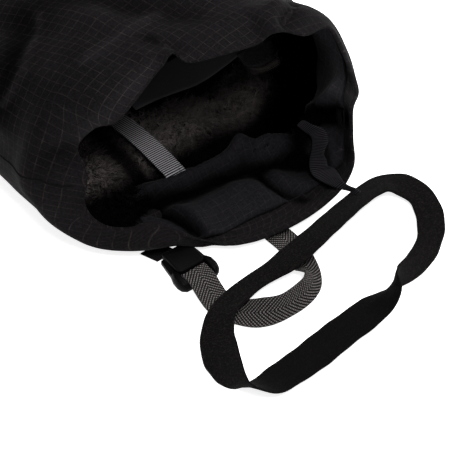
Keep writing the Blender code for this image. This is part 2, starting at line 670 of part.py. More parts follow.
def main():
    for thing in list(bpy.data.objects):
        bpy.data.objects.remove(thing)
    grid = body_surface(COLUMN_STEPS, RING_STEPS)[0]
    fine = (grid, eased(grid_normals(grid)))
    grid = body_surface(1, RING_STEPS)[0]
    normals = eased(grid_normals(grid))
    plain = (grid, normals)
    face_ring = RING_STEPS[0] + RING_STEPS[1]

    reach = np.array([-0.20, -0.80, 0.40]) * 0.030
    shell = hollow("shell", fine, plain, 0, 0.0, WALL, WALL, reach)
    painted(shell, (0.022, 0.021, 0.023), 0.75)

    depth = WALL + GAP
    strip = slice(FACING_START, face_ring + 1)
    outside = grid[strip] - normals[strip] * depth
    inside = grid[strip] - normals[strip] * (depth + FACING_WALL)
    facing = tube_wall("facing", outside, inside)
    painted(facing, (0.028, 0.027, 0.030), 0.75)

    shifted = grid.copy()
    shifted[face_ring] = shifted[face_ring] * 0.80 + shifted[face_ring + 1] * 0.20
    plain = (shifted, normals)
    lining = hollow("lining", plain, plain, face_ring, depth, depth + PILE, PILE * 0.2,
                    np.array([0.0, -0.04, 0.0]))
    painted(lining, (0.060, 0.055, 0.055), 0.95)

    bed = LiningBed(lining)
    low = []
    high = []
    for i in range(11):
        x = 0.0060 + LABEL_LENGTH * 0.86 * i / 10
        y = 0.1000 - 0.0700 * x
        low.append(bed.place(x, y, LABEL_WALL))
        high.append(bed.place(x, y + LABEL_DEPTH, LABEL_WALL))
    label = ribbon("label_band", low, high, LABEL_WALL, False)
    painted(label, (0.011, 0.011, 0.011), 0.45)

    low = []
    high = []
    for i in range(13):
        share = i / 12
        y = 0.0425 + STRAP_LENGTH * share
        x = -0.0040 - 0.0050 * share
        rise = np.array([0.0, 0.0, 0.0045 * math.sin(math.pi * share)])
        low.append(bed.place(x - STRAP_WIDTH / 2, y, STRAP_WALL) + rise)
        high.append(bed.place(x + STRAP_WIDTH / 2, y, STRAP_WALL) + rise)
    strap = ribbon("inner_strap", low, high, STRAP_WALL, False)
    painted(strap, (0.12, 0.12, 0.13), 0.7)

    low, high = leash_edges(2)
    leash = ribbon("leash_loop", low, high, LEASH_WALL, True, True)
    painted(leash, (0.013, 0.012, 0.012), 0.9)

    low, high = pull_edges(2)
    pull_loop = ribbon("pull_loop", low, high, PULL_WALL, False, True)
    painted(pull_loop, (0.09, 0.09, 0.095), 0.7)

    low, high = tether_edges(2)
    tether = ribbon("leash_tether", low, high, TETHER_WALL, False, True)
    painted(tether, (0.025, 0.024, 0.026), 0.7)

    painted(buckle_solid(), (0.008, 0.008, 0.008), 0.4)

    low = []
    high = []
    for i in range(5):
        share = i / 4
        y = 0.0180 - 0.0115 * share
        low.append((-0.0500 + 0.0040 * share, y, 0.0010))
        high.append((-0.0340 + 0.0040 * share, y, 0.0010))
    tab = ribbon("buckle_tab", low, high, PULL_WALL, False)
    painted(tab, (0.02, 0.02, 0.02), 0.7)

    low = []
    high = []
    for i in range(9):
        turn = math.pi * i / 8
        x = 0.0720 - 0.5 * TAB_WIDTH * math.cos(turn)
        y = 0.0900
        low.append(bed.place(x, y - 0.5 * TAB_DEPTH * math.sin(turn), PILE * 0.5))
        high.append(bed.place(x, y + 0.5 * TAB_DEPTH, PILE * 0.5) + np.array([0.0, 0.0, 0.002]))
    fleece_tab = ribbon("fleece_tab", low, high, PILE * 0.5, False)
    painted(fleece_tab, (0.09, 0.085, 0.085), 0.95)
    centred()


main()
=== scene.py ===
"""Looks of a long-cuffed winter mitten: woven shell, pile lining, webbing and leash.

Places and sizes count from the middle of the cuff's lower lip, in metres; ORIGIN moves
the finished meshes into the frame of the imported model.
"""

import math

import bmesh
import bpy
import numpy as np
from mathutils import Matrix, Vector, noise
from mathutils.bvhtree import BVHTree


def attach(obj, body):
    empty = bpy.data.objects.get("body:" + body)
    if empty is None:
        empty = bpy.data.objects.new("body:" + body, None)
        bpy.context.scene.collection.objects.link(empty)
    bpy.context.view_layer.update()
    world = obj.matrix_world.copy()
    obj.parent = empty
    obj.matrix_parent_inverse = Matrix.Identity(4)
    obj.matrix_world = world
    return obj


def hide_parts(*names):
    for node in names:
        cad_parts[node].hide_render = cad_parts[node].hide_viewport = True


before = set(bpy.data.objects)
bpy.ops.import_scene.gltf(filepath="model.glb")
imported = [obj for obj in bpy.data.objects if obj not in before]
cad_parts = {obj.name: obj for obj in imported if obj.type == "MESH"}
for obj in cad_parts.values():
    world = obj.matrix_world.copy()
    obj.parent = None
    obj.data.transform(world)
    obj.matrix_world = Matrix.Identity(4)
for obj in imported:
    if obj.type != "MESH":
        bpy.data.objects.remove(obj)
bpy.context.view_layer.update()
ORIGIN = np.array([-0.0126052, -0.1377942, 0.0])

# Sizes that the looks share with the solids
CUFF_WIDTH = 0.150
MOUTH_HEIGHT = 0.092
LIP_REACH = 0.060
LIP_FRONT = -0.018
HAND_WIDTH = 0.138
HAND_HEIGHT = 0.070
BODY_LENGTH = 0.385
THUMB_WIDTH = 0.056
THUMB_LENGTH = 0.105
GAUNTLET_HEIGHT = 0.104
SIZES = {
    "gauntlet": (0.192, GAUNTLET_HEIGHT),
    "wrist": (0.150, 0.084),
    "hand": (HAND_WIDTH, HAND_HEIGHT),
}
WALL = 0.0026
FACING_WALL = 0.0011
PILE = 0.0060
GAP = 0.0003
LEASH_WIDTH = 0.0200
LEASH_WALL = 0.0017
PULL_WIDTH = 0.0150
PULL_WALL = 0.0014
STRAP_WIDTH = 0.0122
STRAP_WALL = 0.0012
STRAP_LENGTH = 0.078
TETHER_WIDTH = 0.0090
TETHER_WALL = 0.0012
BUCKLE_SIDE = 0.0050
BUCKLE_LENGTH = 0.0240
BUCKLE_WALL = 0.0060
LABEL_LENGTH = 0.086
LABEL_DEPTH = 0.026
LABEL_WALL = 0.0010
TAB_WIDTH = 0.024
TAB_DEPTH = 0.015
RING_STEPS = (3, 5, 4, 3, 2, 2, 2, 2, 1, 1)
FACE_RING = RING_STEPS[0] + RING_STEPS[1]
FINE = 2      # fineness of the cloth meshes

# Camera: degrees of turn and of rise above the table, metres, and the picture's size in pixels
CAMERA_TURN = -37.0
CAMERA_RISE = 48.0
CAMERA_DISTANCE = 0.800
SENSOR_WIDTH = 36.0
FOCAL_PIXELS = 1500.0
PHOTO_PIXELS = 460.0

# Reinforcing threads of the ripstop: pitch, width and soft edge, in metres
RIP_PITCH = 0.0047
RIP_WIDTH = 0.00024
RIP_SOFT = 0.00012

# Mouth, as shares of its width, reach and height
MOUTH_ROWS = (
    # angle, rim across, rim back, rim up, swell across, swell back, swell up
    (-90.0, -0.320, 0.308, 0.109, -0.333, 0.392, 0.060),
    (-83.0, -0.227, 0.208, 0.083, -0.233, 0.333, 0.043),
    (-76.0, -0.080, 0.108, 0.067, -0.080, 0.283, 0.035),
    (-69.0, 0.173, 0.033, 0.065, 0.173, 0.283, 0.033),
    (-60.0, 0.480, 0.008, 0.065, 0.480, 0.250, 0.028),
    (-49.0, 0.780, 0.043, 0.098, 0.813, 0.250, 0.035),
    (-36.0, 0.933, 0.067, 0.217, 1.013, 0.283, 0.120),
    (-23.0, 1.000, 0.183, 0.348, 1.093, 0.400, 0.261),
    (-11.0, 1.080, 0.333, 0.478, 1.173, 0.533, 0.424),
    (0.0, 1.160, 0.392, 0.565, 1.247, 0.617, 0.543),
    (14.0, 1.173, 0.550, 0.707, 1.280, 0.767, 0.663),
    (30.0, 1.147, 0.800, 0.859, 1.267, 1.033, 0.793),
    (46.0, 0.907, 0.775, 0.935, 0.987, 1.033, 0.989),
    (58.0, 0.667, 0.825, 1.038, 0.693, 1.083, 1.065),
    (68.0, 0.533, 0.867, 0.989, 0.560, 1.133, 1.054),
    (82.0, 0.293, 0.883, 1.016, 0.307, 1.150, 1.071),
    (93.0, 0.027, 0.983, 1.016, 0.027, 1.250, 1.076),
    (101.0, -0.067, 1.067, 1.076, -0.073, 1.333, 1.092),
    (109.0, -0.187, 1.058, 1.016, -0.213, 1.333, 1.065),
    (120.0, -0.427, 0.983, 0.935, -0.480, 1.267, 1.011),
    (135.0, -0.593, 0.983, 0.842, -0.707, 1.250, 0.946),
    (150.0, -0.680, 1.142, 0.750, -0.893, 1.350, 0.837),
    (166.0, -0.793, 1.183, 0.630, -1.093, 1.333, 0.674),
    (182.0, -0.813, 1.067, 0.500, -1.173, 1.250, 0.457),
    (192.0, -0.820, 1.050, 0.413, -1.147, 1.133, 0.337),
    (202.0, -0.833, 1.067, 0.337, -1.093, 1.017, 0.239),
    (212.0, -0.867, 1.017, 0.272, -1.027, 0.917, 0.168),
    (222.0, -0.853, 0.908, 0.223, -0.947, 0.817, 0.120),
    (231.0, -0.793, 0.783, 0.196, -0.853, 0.717, 0.098),
    (239.0, -0.687, 0.650, 0.212, -0.753, 0.617, 0.092),
    (247.0, -0.587, 0.575, 0.245, -0.653, 0.525, 0.092),
    (255.0, -0.507, 0.525, 0.228, -0.560, 0.475, 0.092),
    (263.0, -0.420, 0.433, 0.163, -0.447, 0.433, 0.087),
)

# Body sections, as shares of the named sizes
BODY_ROWS = (
    # y, keep, middle, part, width, height, low
    (0.098, 0.60, 0.060, "gauntlet", 0.985, 0.945, 0.42),
    (0.205, 0.40, 0.055, "gauntlet", 1.000, 1.000, 0.42),
    (0.320, 0.20, 0.050, "gauntlet", 0.960, 0.960, 0.42),
    (0.440, 0.08, 0.040, "gauntlet", 0.880, 0.880, 0.43),
    (0.560, 0.00, 0.030, "wrist", 1.000, 1.000, 0.44),
    (0.690, 0.00, 0.020, "hand", 1.000, 1.040, 0.45),
    (0.810, 0.00, 0.010, "hand", 1.000, 1.000, 0.46),
    (0.910, 0.00, 0.000, "hand", 0.870, 0.870, 0.47),
    (0.970, 0.00, 0.000, "hand", 0.610, 0.640, 0.50),
)

# Folds of the body, with heights in metres
FOLD_ROWS = (
    # angle, y, spread_round, spread_along, slant, height
    (128.0, 0.33, 9.0, 0.110, 150.0, -0.0060),
    (146.0, 0.30, 8.0, 0.100, 160.0, 0.0040),
    (176.0, 0.26, 9.0, 0.090, 90.0, -0.0040),
    (55.0, 0.25, 6.0, 0.050, -60.0, -0.0045),
    (64.0, 0.24, 5.0, 0.055, -60.0, 0.0035),
    (101.0, 0.22, 5.0, 0.040, 60.0, 0.0030),
    (90.0, 0.52, 14.0, 0.035, 0.0, -0.0040),
    (60.0, 0.60, 14.0, 0.030, 90.0, 0.0035),
    (120.0, 0.60, 14.0, 0.030, -90.0, 0.0035),
    (20.0, 0.45, 10.0, 0.060, 80.0, -0.0040),
    (90.0, 0.72, 20.0, 0.030, 0.0, -0.0025),
)

THUMB_ROWS = (
    # share of the thumb's length, share of its width
    (0.0, 0.98),
    (0.25, 1.0),
    (0.5, 1.02),
    (0.7, 0.98),
    (0.85, 0.86),
    (0.95, 0.62),
    (0.995, 0.28),
)

# Leash, as shares of its length, depth and thickness, with angles in degrees
LEASH_LENGTH = 0.172
LEASH_DEPTH = 0.070
LEASH_MIDDLE = (0.0198, -0.0485)
LEASH_ROWS = (
    # across, forward, lift, toward, lean
    (-0.735, 0.360, 2.4, -31.0, 76.0),
    (-0.640, 0.450, 2.4, -34.0, 78.0),
    (-0.536, 0.500, 2.5, -36.0, 80.0),
    (-0.412, 0.540, 2.7, -46.0, 79.0),
    (-0.262, 0.557, 2.8, -60.0, 71.0),
    (0.034, 0.680, 3.0, -77.0, 65.0),
    (0.357, 0.854, 1.8, -94.0, 62.0),
    (0.567, 0.968, 1.0, -101.0, 64.0),
    (0.722, 1.005, 0.8, -113.0, 68.0),
    (0.842, 0.930, 0.8, -128.0, 70.0),
    (0.945, 0.754, 0.8, -144.0, 80.0),
    (0.990, 0.480, 0.8, -153.0, 84.0),
    (0.985, 0.200, 0.8, -165.0, 85.0),
    (0.935, -0.130, 0.8, -175.0, 84.0),
    (0.841, -0.457, 0.8, -184.0, 80.0),
    (0.735, -0.671, 0.8, -191.8, 71.5),
    (0.624, -0.826, 0.8, -195.5, 60.5),
    (0.506, -0.915, 0.8, -195.5, 47.0),
    (0.409, -0.952, 0.8, -193.8, 34.0),
    (0.346, -0.949, 0.8, -187.2, 22.8),
    (0.301, -0.928, 0.8, -166.5, 14.8),
    (0.259, -0.899, 0.8, -130.5, 14.5),
    (0.219, -0.869, 0.8, -97.8, 24.2),
    (0.177, -0.836, 0.8, -82.0, 40.2),
    (0.118, -0.801, 0.8, -80.2, 57.5),
    (0.040, -0.770, 0.8, -86.0, 74.0),
    (-0.080, -0.785, 0.8, -92.0, 81.0),
    (-0.205, -0.800, 0.8, -94.0, 84.0),
    (-0.437, -0.875, 0.8, -94.0, 82.0),
    (-0.565, -0.900, 0.8, -93.0, 81.0),
    (-0.690, -0.920, 0.8, -93.0, 78.0),
    (-0.786, -0.962, 0.8, -97.0, 66.0),
    (-0.856, -0.970, 0.8, -104.0, 48.0),
    (-0.915, -0.950, 0.8, -98.0, 36.0),
    (-0.965, -0.890, 0.8, -74.0, 33.0),
    (-0.996, -0.745, 0.8, -47.0, 38.0),
    (-0.999, -0.566, 0.8, -29.0, 48.0),
    (-0.985, -0.375, 0.8, -14.0, 58.0),
    (-0.948, -0.157, 0.8, -14.0, 64.0),
    (-0.888, 0.070, 1.4, -18.0, 68.0),
    (-0.815, 0.240, 2.2, -24.0, 72.0),
)

# Pull loop, in the same columns as the leash
PULL_REACH = 0.050
PULL_SPAN = 0.068
PULL_START = (-0.0414, -0.0127)
PULL_ROWS = (
    # across, forward, lift, toward, lean
    (0.000, 0.122, 1.75, -2.0, 88.5),
    (0.000, 0.064, 2.80, -2.0, 88.5),
    (0.000, 0.014, 2.95, -2.0, 88.5),
    (-0.002, -0.096, 2.95, -3.0, 88.5),
    (-0.010, -0.186, 2.00, -5.0, 88.5),
    (-0.018, -0.286, 1.20, -5.0, 88.5),
    (-0.025, -0.400, 0.92, -2.0, 88.0),
    (-0.018, -0.500, 0.90, 8.0, 87.0),
    (0.010, -0.600, 0.9, 20.0, 86.0),
    (0.075, -0.760, 0.9, 40.0, 80.0),
    (0.160, -0.890, 0.9, 52.0, 62.0),
    (0.255, -0.960, 0.9, 58.0, 40.0),
    (0.345, -0.990, 0.9, 62.0, 28.0),
    (0.440, -1.000, 0.9, 66.0, 28.0),
    (0.575, -0.996, 0.9, 90.0, 28.0),
    (0.705, -0.955, 0.9, 117.0, 29.0),
    (0.815, -0.865, 0.9, 135.0, 42.0),
    (0.905, -0.690, 0.9, 156.0, 74.0),
    (0.965, -0.440, 0.9, 172.0, 85.0),
    (0.985, -0.200, 0.9, 186.0, 88.0),
    (0.970, 0.060, 0.9, 190.0, 88.0),
)

# Tether, in metres, with angles in degrees
TETHER_ROWS = (
    # x, y, z, toward, lean, width share
    (0.0701, 0.0350, 0.0122, -18.4, 43.9, 0.55),
    (0.0702, 0.0298, 0.0124, -60.1, 29.5, 0.75),
    (0.0710, 0.0254, 0.0122, -62.4, 47.9, 0.95),
    (0.0701, 0.0217, 0.0118, -78.5, 56.9, 1.00),
    (0.0674, 0.0183, 0.0114, -87.7, 56.6, 0.95),
    (0.0645, 0.0153, 0.0109, -92.5, 54.5, 0.95),
    (0.0600, 0.0114, 0.0106, -78.6, 56.1, 1.00),
    (0.0564, 0.0069, 0.0102, -69.0, 57.2, 1.00),
    (0.0541, 0.0010, 0.0102, -39.9, 61.5, 1.00),
    (0.0552, -0.0069, 0.0106, -41.9, 47.7, 0.85),
    (0.0563, -0.0155, 0.0132, -48.7, 33.7, 0.60),
    (0.0598, -0.0185, 0.0120, -50.9, 31.7, 0.42),
    (0.0639, -0.0194, 0.0086, -44.9, 33.2, 0.40),
    (0.0659, -0.0221, 0.0072, -44.8, 33.0, 0.40),
)

# Creases and dents seen in the cloth: width and height in mm (below 0 sinks), sharpness, points
OUTER_CREASES = (
    (3.0, 1.9, 1.3, ((-41.0, 115.6, 94.7), (-52.0, 102.5, 91.9), (-66.2, 89.8, 88.3), (-80.1, 90.5, 72.2))),
    (4.0, 1.8, 1.3, ((6.4, 75.4, 99.0), (-11.9, 72.3, 98.5), (-26.3, 71.1, 95.0), (-41.2, 68.9, 92.4))),
    (14.0, -3.4, 1.6, ((-43.4, 115.0, 93.0), (-58.2, 104.3, 90.6), (-72.1, 94.3, 84.9),
                       (-79.5, 91.3, 73.4))),
    (10.0, 4.2, 2.0, ((-24.2, 85.5, 99.1), (-43.1, 76.0, 92.4), (-59.4, 65.7, 85.3), (-69.0, 61.8, 73.2))),
    (4.0, 3.0, 1.5, ((-5.5, 45.5, 97.9), (-12.0, 50.0, 97.0), (-17.0, 56.0, 96.5))),
    (3.5, -3.0, 1.5, ((0.5, 47.0, 97.9), (-4.0, 54.0, 98.0), (-9.0, 61.0, 98.0))),
    (5.0, -3.6, 1.6, ((57.7, 34.6, 93.8), (68.0, 40.8, 92.5), (76.0, 49.0, 88.0))),
    (5.0, 2.8, 1.6, ((51.0, 37.0, 96.0), (60.0, 46.0, 95.0), (69.0, 56.0, 90.0))),
    (9.0, -3.6, 1.8, ((20.0, 66.0, 101.0), (-6.0, 90.0, 101.0), (-30.0, 122.0, 98.0))),
    (8.0, 2.8, 2.0, ((36.0, 70.0, 100.0), (12.0, 98.0, 102.0), (-8.0, 130.0, 100.0))),
    (8.0, -3.6, 1.8, ((-83.0, 62.0, 30.0), (-70.0, 50.0, 16.0), (-52.0, 36.0, 6.0))),
    (6.0, 3.2, 1.8, ((-78.0, 50.0, 34.0), (-64.0, 40.0, 22.0), (-48.0, 30.0, 10.0))),
    (5.0, 3.0, 1.7, ((-43.8, 32.8, 6.1), (-30.8, 28.2, 7.0), (-27.9, 18.7, 7.9))),
    (4.5, -3.0, 1.5, ((-22.0, 12.0, 8.0), (-19.0, 2.0, 7.0), (-18.0, -6.0, 3.0))),
    (7.0, -3.4, 1.7, ((88.0, 24.0, 32.0), (84.0, 16.0, 26.0), (78.0, 8.0, 20.0))),
    (6.0, 3.6, 1.7, ((92.0, 32.0, 42.0), (90.0, 22.0, 44.0), (86.0, 12.0, 44.0))),
    (7.0, -2.6, 1.8, ((-60.0, 42.0, 60.0), (-66.0, 56.0, 58.0), (-76.0, 74.0, 56.0))),
)
FACING_CREASES = (
    (4.0, 3.4, 1.7, ((81.6, 42.4, 17.0), (85.1, 35.3, 17.2), (85.8, 24.5, 25.8), (84.2, 12.5, 37.9))),
    (4.0, -2.5, 1.7, ((73.2, 36.1, 9.6), (78.3, 37.1, 12.0), (82.9, 30.7, 15.9), (83.0, 17.7, 25.7),
                      (77.7, -0.7, 41.3))),
    (5.5, -3.0, 1.8, ((-54.3, 40.7, 8.5), (-43.1, 44.2, 5.9), (-32.9, 43.1, 5.7), (-23.2, 37.2, 5.9),
                      (-14.4, 33.6, 5.6), (-3.1, 31.9, 5.3), (9.4, 31.5, 4.9), (20.5, 31.0, 4.7),
                      (29.9, 28.9, 4.5), (39.3, 24.7, 4.5), (47.7, 20.3, 5.2), (57.2, 14.6, 6.5))),
    (6.5, 6.5, 1.8, ((-20.3, 48.3, 5.5), (-11.2, 45.0, 4.9), (0.7, 43.6, 4.2), (14.0, 42.3, 4.0),
                     (22.9, 41.5, 4.0), (33.2, 41.3, 3.4))),
    (3.4, -4.6, 1.5, ((-26.3, 38.5, 6.2), (-25.4, 32.3, 7.0), (-23.7, 25.4, 7.9), (-21.7, 16.4, 8.3),
                      (-20.0, 6.3, 8.2))),
    (4.5, 4.5, 1.7, ((-19.2, 26.8, 7.2), (-17.7, 19.6, 7.8), (-15.7, 8.4, 7.6), (-14.7, 0.4, 7.6))),
    (12.0, 4.2, 2.0, ((-9.7, 17.4, 6.6), (5.5, 13.7, 5.9), (20.8, 11.7, 5.7))),
    (9.0, 2.6, 2.0, ((16.0, 22.0, 5.0), (26.0, 14.0, 5.0), (28.0, 4.0, 5.0))),
    (3.8, -4.0, 1.5, ((34.2, 20.3, 5.1), (32.6, 11.3, 5.8), (35.2, 2.5, 6.2), (42.0, -7.0, 6.2))),
    (5.0, 4.0, 1.8, ((41.6, 19.9, 5.1), (41.7, 10.3, 5.8), (46.6, 0.7, 6.2))),
    (8.0, 8.0, 2.4, ((38.0, 43.8, 6.2), (45.2, 41.8, 7.8), (52.0, 37.7, 7.2), (57.2, 31.6, 6.1))),
    (7.0, -3.5, 1.8, ((83.0, 30.0, 16.0), (83.2, 16.5, 29.5), (79.8, 2.2, 40.0))),
    (4.5, 8.0, 1.7, ((74.6, 35.1, 10.3), (82.5, 36.2, 14.2), (89.0, 28.9, 26.3), (91.0, 24.0, 36.0))),
    (6.0, 6.0, 1.7, ((80.7, 20.7, 14.5), (76.5, 9.3, 12.8), (69.6, -2.6, 10.5))),
)
LINING_CREASES = (
    (8.0, -4.5, 2.0, ((-18.0, 104.7, 8.9), (-18.4, 82.3, 8.9), (-16.6, 68.3, 8.9), (-13.0, 52.8, 8.9))),
    (10.0, 6.5, 2.0, ((-35.6, 94.2, 8.9), (-37.8, 78.6, 8.8), (-38.3, 66.3, 8.8))),
    (10.0, 5.5, 2.0, ((8.4, 98.2, 8.9), (17.3, 84.4, 8.9), (26.2, 70.6, 8.9), (30.6, 62.6, 8.8))),
    (9.0, -4.0, 2.0, ((19.9, 50.4, 8.9), (36.5, 55.0, 8.9), (49.7, 56.0, 8.7), (60.6, 61.0, 10.3))),
    (7.0, -4.0, 2.0, ((39.5, 94.4, 8.8), (48.4, 82.5, 8.7), (55.3, 67.9, 9.6))),
    (12.0, -4.0, 2.0, ((-56.0, 50.0, 12.0), (-42.0, 49.0, 8.0), (-26.0, 50.0, 7.0))),
)
# Painted shade where the outer cloth is dark beside its folds, and painted light (below 0) where it is paler
# on their backs
OUTER_PAINTED_LIGHT_AND_SHADE = (
    (2.2, -0.55, 2.0, ((-41.0, 115.6, 94.7), (-52.0, 102.5, 91.9), (-66.2, 89.8, 88.3),
                       (-75.0, 88.8, 78.9), (-80.1, 90.5, 72.2))),
    (3.0, -0.40, 2.0, ((6.4, 75.4, 99.0), (-11.9, 72.3, 98.5), (-26.3, 71.1, 95.0), (-41.2, 68.9, 92.4))),
    (5.0, -0.55, 2.2, ((-15.7, 47.7, 93.8), (-31.3, 44.8, 88.4), (-47.4, 45.1, 78.3), (-55.1, 53.5, 62.4))),
    (10.0, 0.26, 2.0, ((-42.2, 81.9, 93.1), (-44.1, 66.3, 91.8), (-55.7, 60.1, 86.7))),
    (9.0, 0.34, 2.0, ((-64.9, 72.2, 82.9), (-73.5, 65.8, 72.7), (-76.2, 58.4, 59.0), (-80.3, 56.9, 52.0))),
    (10.0, 0.38, 2.0, ((-49.2, 125.1, 88.5), (-62.9, 104.4, 89.6), (-73.4, 96.1, 84.3),
                       (-84.0, 88.0, 66.0))),
)
# Painted shade where the turned-in cloth is dark in its folds, and painted light (below 0) where it is paler:
# width, share, sharpness, points
FACING_PAINTED_LIGHT_AND_SHADE = (
    (5.0, 1.1, 2.2, ((-58.0, 47.0, 9.0), (-48.0, 46.0, 6.5), (-35.0, 45.0, 5.7), (-23.2, 40.2, 5.9),
                     (-14.4, 37.0, 5.6), (-3.1, 34.0, 5.3), (9.4, 33.5, 4.9), (20.5, 32.0, 4.7),
                     (29.9, 30.9, 4.5), (39.3, 27.7, 4.5), (47.7, 23.3, 5.2), (57.2, 16.6, 6.5))),
    (2.8, 1.1, 1.8, ((-26.3, 38.5, 6.2), (-25.4, 32.3, 7.0), (-23.7, 25.4, 7.9), (-21.7, 16.4, 8.3),
                     (-20.0, 6.3, 8.2))),
    (2.8, 1.1, 1.8, ((34.2, 22.3, 5.1), (32.6, 11.3, 5.8), (35.2, 2.5, 6.2), (42.0, -7.0, 6.2))),
    (7.0, 1.1, 2.2, ((74.0, 32.0, 11.0), (83.0, 28.0, 18.0), (83.2, 16.5, 29.5), (79.8, 6.2, 36.0))),
    (7.0, 1.0, 2.2, ((66.0, 27.0, 8.0), (60.0, 20.0, 7.0), (62.0, 8.0, 7.0))),
    (12.0, -1.9, 2.2, ((91.5, 17.4, 60.7), (86.6, 7.0, 54.5))),
    (4.5, 0.8, 1.6, ((73.2, 36.1, 9.6), (78.3, 37.1, 12.0), (82.9, 30.7, 15.9), (83.0, 17.7, 25.7),
                     (77.7, -0.7, 41.3))),
    (15.0, -1.9, 2.2, ((93.6, 44.3, 66.0), (92.6, 37.3, 61.8), (91.3, 26.2, 50.8), (88.3, 20.7, 44.6))),
)
# Where the pile's front edge lies: place round the mouth in rows, ring along the body
PILE_EDGE = (
    (0, 7.9), (3, 7.9), (8, 7.8), (14, 7.6), (22, 7.4), (26, 6.4), (28, 5.4), (30, 5.2), (31, 6.0),
    (32, 7.3), (33, 7.9),
)
SEAM_POINTS = ((-88.0, 92.0, 42.0), (-87.1, 81.3, 43.7), (-86.0, 68.3, 46.0), (-82.2, 58.4, 46.1),
               (-75.8, 50.4, 42.9), (-67.0, 46.5, 40.7))

# Buckle outline beside the webbing (share of length, wing share), and its wings with tops
BUCKLE_SIDES = ((0.0, 0.45), (0.2, 0.58), (0.45, 0.72), (0.62, 1.0), (0.80, 1.05), (0.92, 0.90),
                (1.0, 0.45))
BUCKLE_WINGS = (
    (0.40, 0.60, 0.55), (0.52, 0.85, 0.85), (0.64, 1.02, 1.0), (0.80, 1.05, 0.98),
    (0.92, 0.90, 0.82), (0.99, 0.60, 0.55),
)

# Surfaces
def blend_rows(a, b, slope_a, slope_b, t):
    """Smooth cubic between two rows of points with their slopes."""
    return (
        (2 * t**3 - 3 * t**2 + 1) * a + (t**3 - 2 * t**2 + t) * slope_a
        + (3 * t**2 - 2 * t**3) * b + (t**3 - t**2) * slope_b
    )


def stretched(rows, steps, open_end=False):
    """Rows with further ones between them: steps gives how many for each stretch."""
    slopes = np.gradient(rows, axis=0)
    out = []
    for k, count in enumerate(steps):
        for j in range(count):
            out.append(blend_rows(rows[k], rows[k + 1], slopes[k], slopes[k + 1], j / count))
    if not open_end:
        out.append(rows[len(steps)])
    return np.array(out)


def looped(rows, steps):
    """The same for rows that close on themselves."""
    padded = np.concatenate([rows[-3:], rows, rows[:4]])
    return stretched(padded, [steps] * (len(padded) - 1))[3 * steps:(3 + len(rows)) * steps]


def power(value, exponent):
    return math.copysign(abs(value) ** exponent, value)


def mouth_columns(steps):
    rows = np.array(MOUTH_ROWS)
    before = rows[-3:].copy()
    before[:, 0] -= 360.0
    after = rows[:4].copy()
    after[:, 0] += 360.0
    ring = np.vstack([before, rows, after])
    return stretched(ring, [steps] * (len(ring) - 1))[3 * steps:(3 + len(rows)) * steps]


def section_point(angle, row):
    """Point of a body section at an angle: round above, flattened where it rests."""
    share_y, keep, middle, part, share_w, share_h, low = row
    full_w, full_h = SIZES[part]
    half = share_w * full_w / 2
    high = share_h * full_h
    c = math.cos(math.radians(angle))
    s = math.sin(math.radians(angle))
    widest = low * high
    x = middle * half + half * power(c, 0.86 if s > 0 else 0.74)
    if s > 0:
        z = widest + (high - widest) * power(s, 0.92)
    else:
        z = widest + (widest * 1.06) * power(s, 0.74)
    return (x, share_y * BODY_LENGTH, max(z, 0.0))


def body_surface(column_steps, ring_steps):
    """Outer surface of cuff and hand: rings of points from the rim to the fingertips."""
    scale = np.array([CUFF_WIDTH / 2, LIP_REACH, MOUTH_HEIGHT])
    lip = np.array([0.0, LIP_FRONT, 0.0])
    columns = mouth_columns(column_steps)
    lines = []
    for column in columns:
        rim = lip + column[1:4] * scale
        line = [rim, lip + column[4:7] * scale]
        for row in BODY_ROWS:
            point = np.array(section_point(column[0], row))
            point[1] += row[1] * (rim[1] - LIP_FRONT)
            line.append(point)
        line.append(np.array([0.0, BODY_LENGTH, HAND_HEIGHT * 0.30]))
        lines.append(line)
    grid = stretched(np.array(lines).transpose(1, 0, 2), ring_steps, True)
    angles = columns[:, 0]
    share = grid[:, :, 1] / BODY_LENGTH
    lift = np.zeros(share.shape)
    for angle, y, spread_round, spread_along, slant, height in FOLD_ROWS:
        turn = (angles[None, :] - angle - (share - y) * slant + 180.0) % 360.0 - 180.0
        lift += height * np.exp(-(turn / spread_round) ** 2 - ((share - y) / spread_along) ** 2)
    grid = grid + grid_normals(grid) * lift[:, :, None]
    grid[:, :, 2] = np.maximum(grid[:, :, 2], 0.0)
    return grid


def unit(vectors):
    return vectors / np.maximum(np.linalg.norm(vectors, axis=-1, keepdims=True), 1e-12)


def grid_normals(grid):
    round_way = np.roll(grid, -1, axis=1) - np.roll(grid, 1, axis=1)
    return unit(np.cross(np.gradient(grid, axis=0), round_way))


def eased(normals, passes):
    for _ in range(passes):
        side = np.roll(normals, 1, axis=1) + np.roll(normals, -1, axis=1)
        along = normals.copy()
        along[1:-1] = (normals[2:] + normals[:-2]) / 2
        normals = unit(normals + side + along)
    return normals


def wandering(points, scale, seed):
    """Soft noise between -1 and 1 at each point; scale is the size of a lump."""
    flat = points.reshape(-1, 3) / scale + np.array([seed * 7.3, seed * 3.1, seed * 5.7])
    values = np.array([noise.noise(Vector(p)) for p in flat])
    return values.reshape(points.shape[:-1])


def creases(grid, rows):
    """Height in metres that the rows add: width, height, sharpness, points in mm."""
    lift = np.zeros(grid.shape[:2])
    for width, height, sharp, points in rows:
        nearest = np.full(grid.shape[:2], 1e9)
        for one, two in zip(points[:-1], points[1:]):
            start = np.array(one) / 1000
            reach = np.array(two) / 1000 - start
            share = np.clip(((grid - start) @ reach) / max(float(reach @ reach), 1e-9), 0.0, 1.0)
            nearest = np.minimum(nearest, np.linalg.norm(grid - start - share[:, :, None] * reach, axis=2))
        lift += height / 1000 * np.exp(-(nearest / (width / 1000)) ** sharp)
    return lift


def creased(grid, rows, out=1.0):
    """The grid with its creases, and how far each point lies down in a fold, 0 to 1."""
    lift = creases(grid, rows)
    moved = grid + eased(grid_normals(grid), 2) * (lift * out)[:, :, None]
    return moved, np.clip(-lift / 0.0035, 0.0, 1.0)


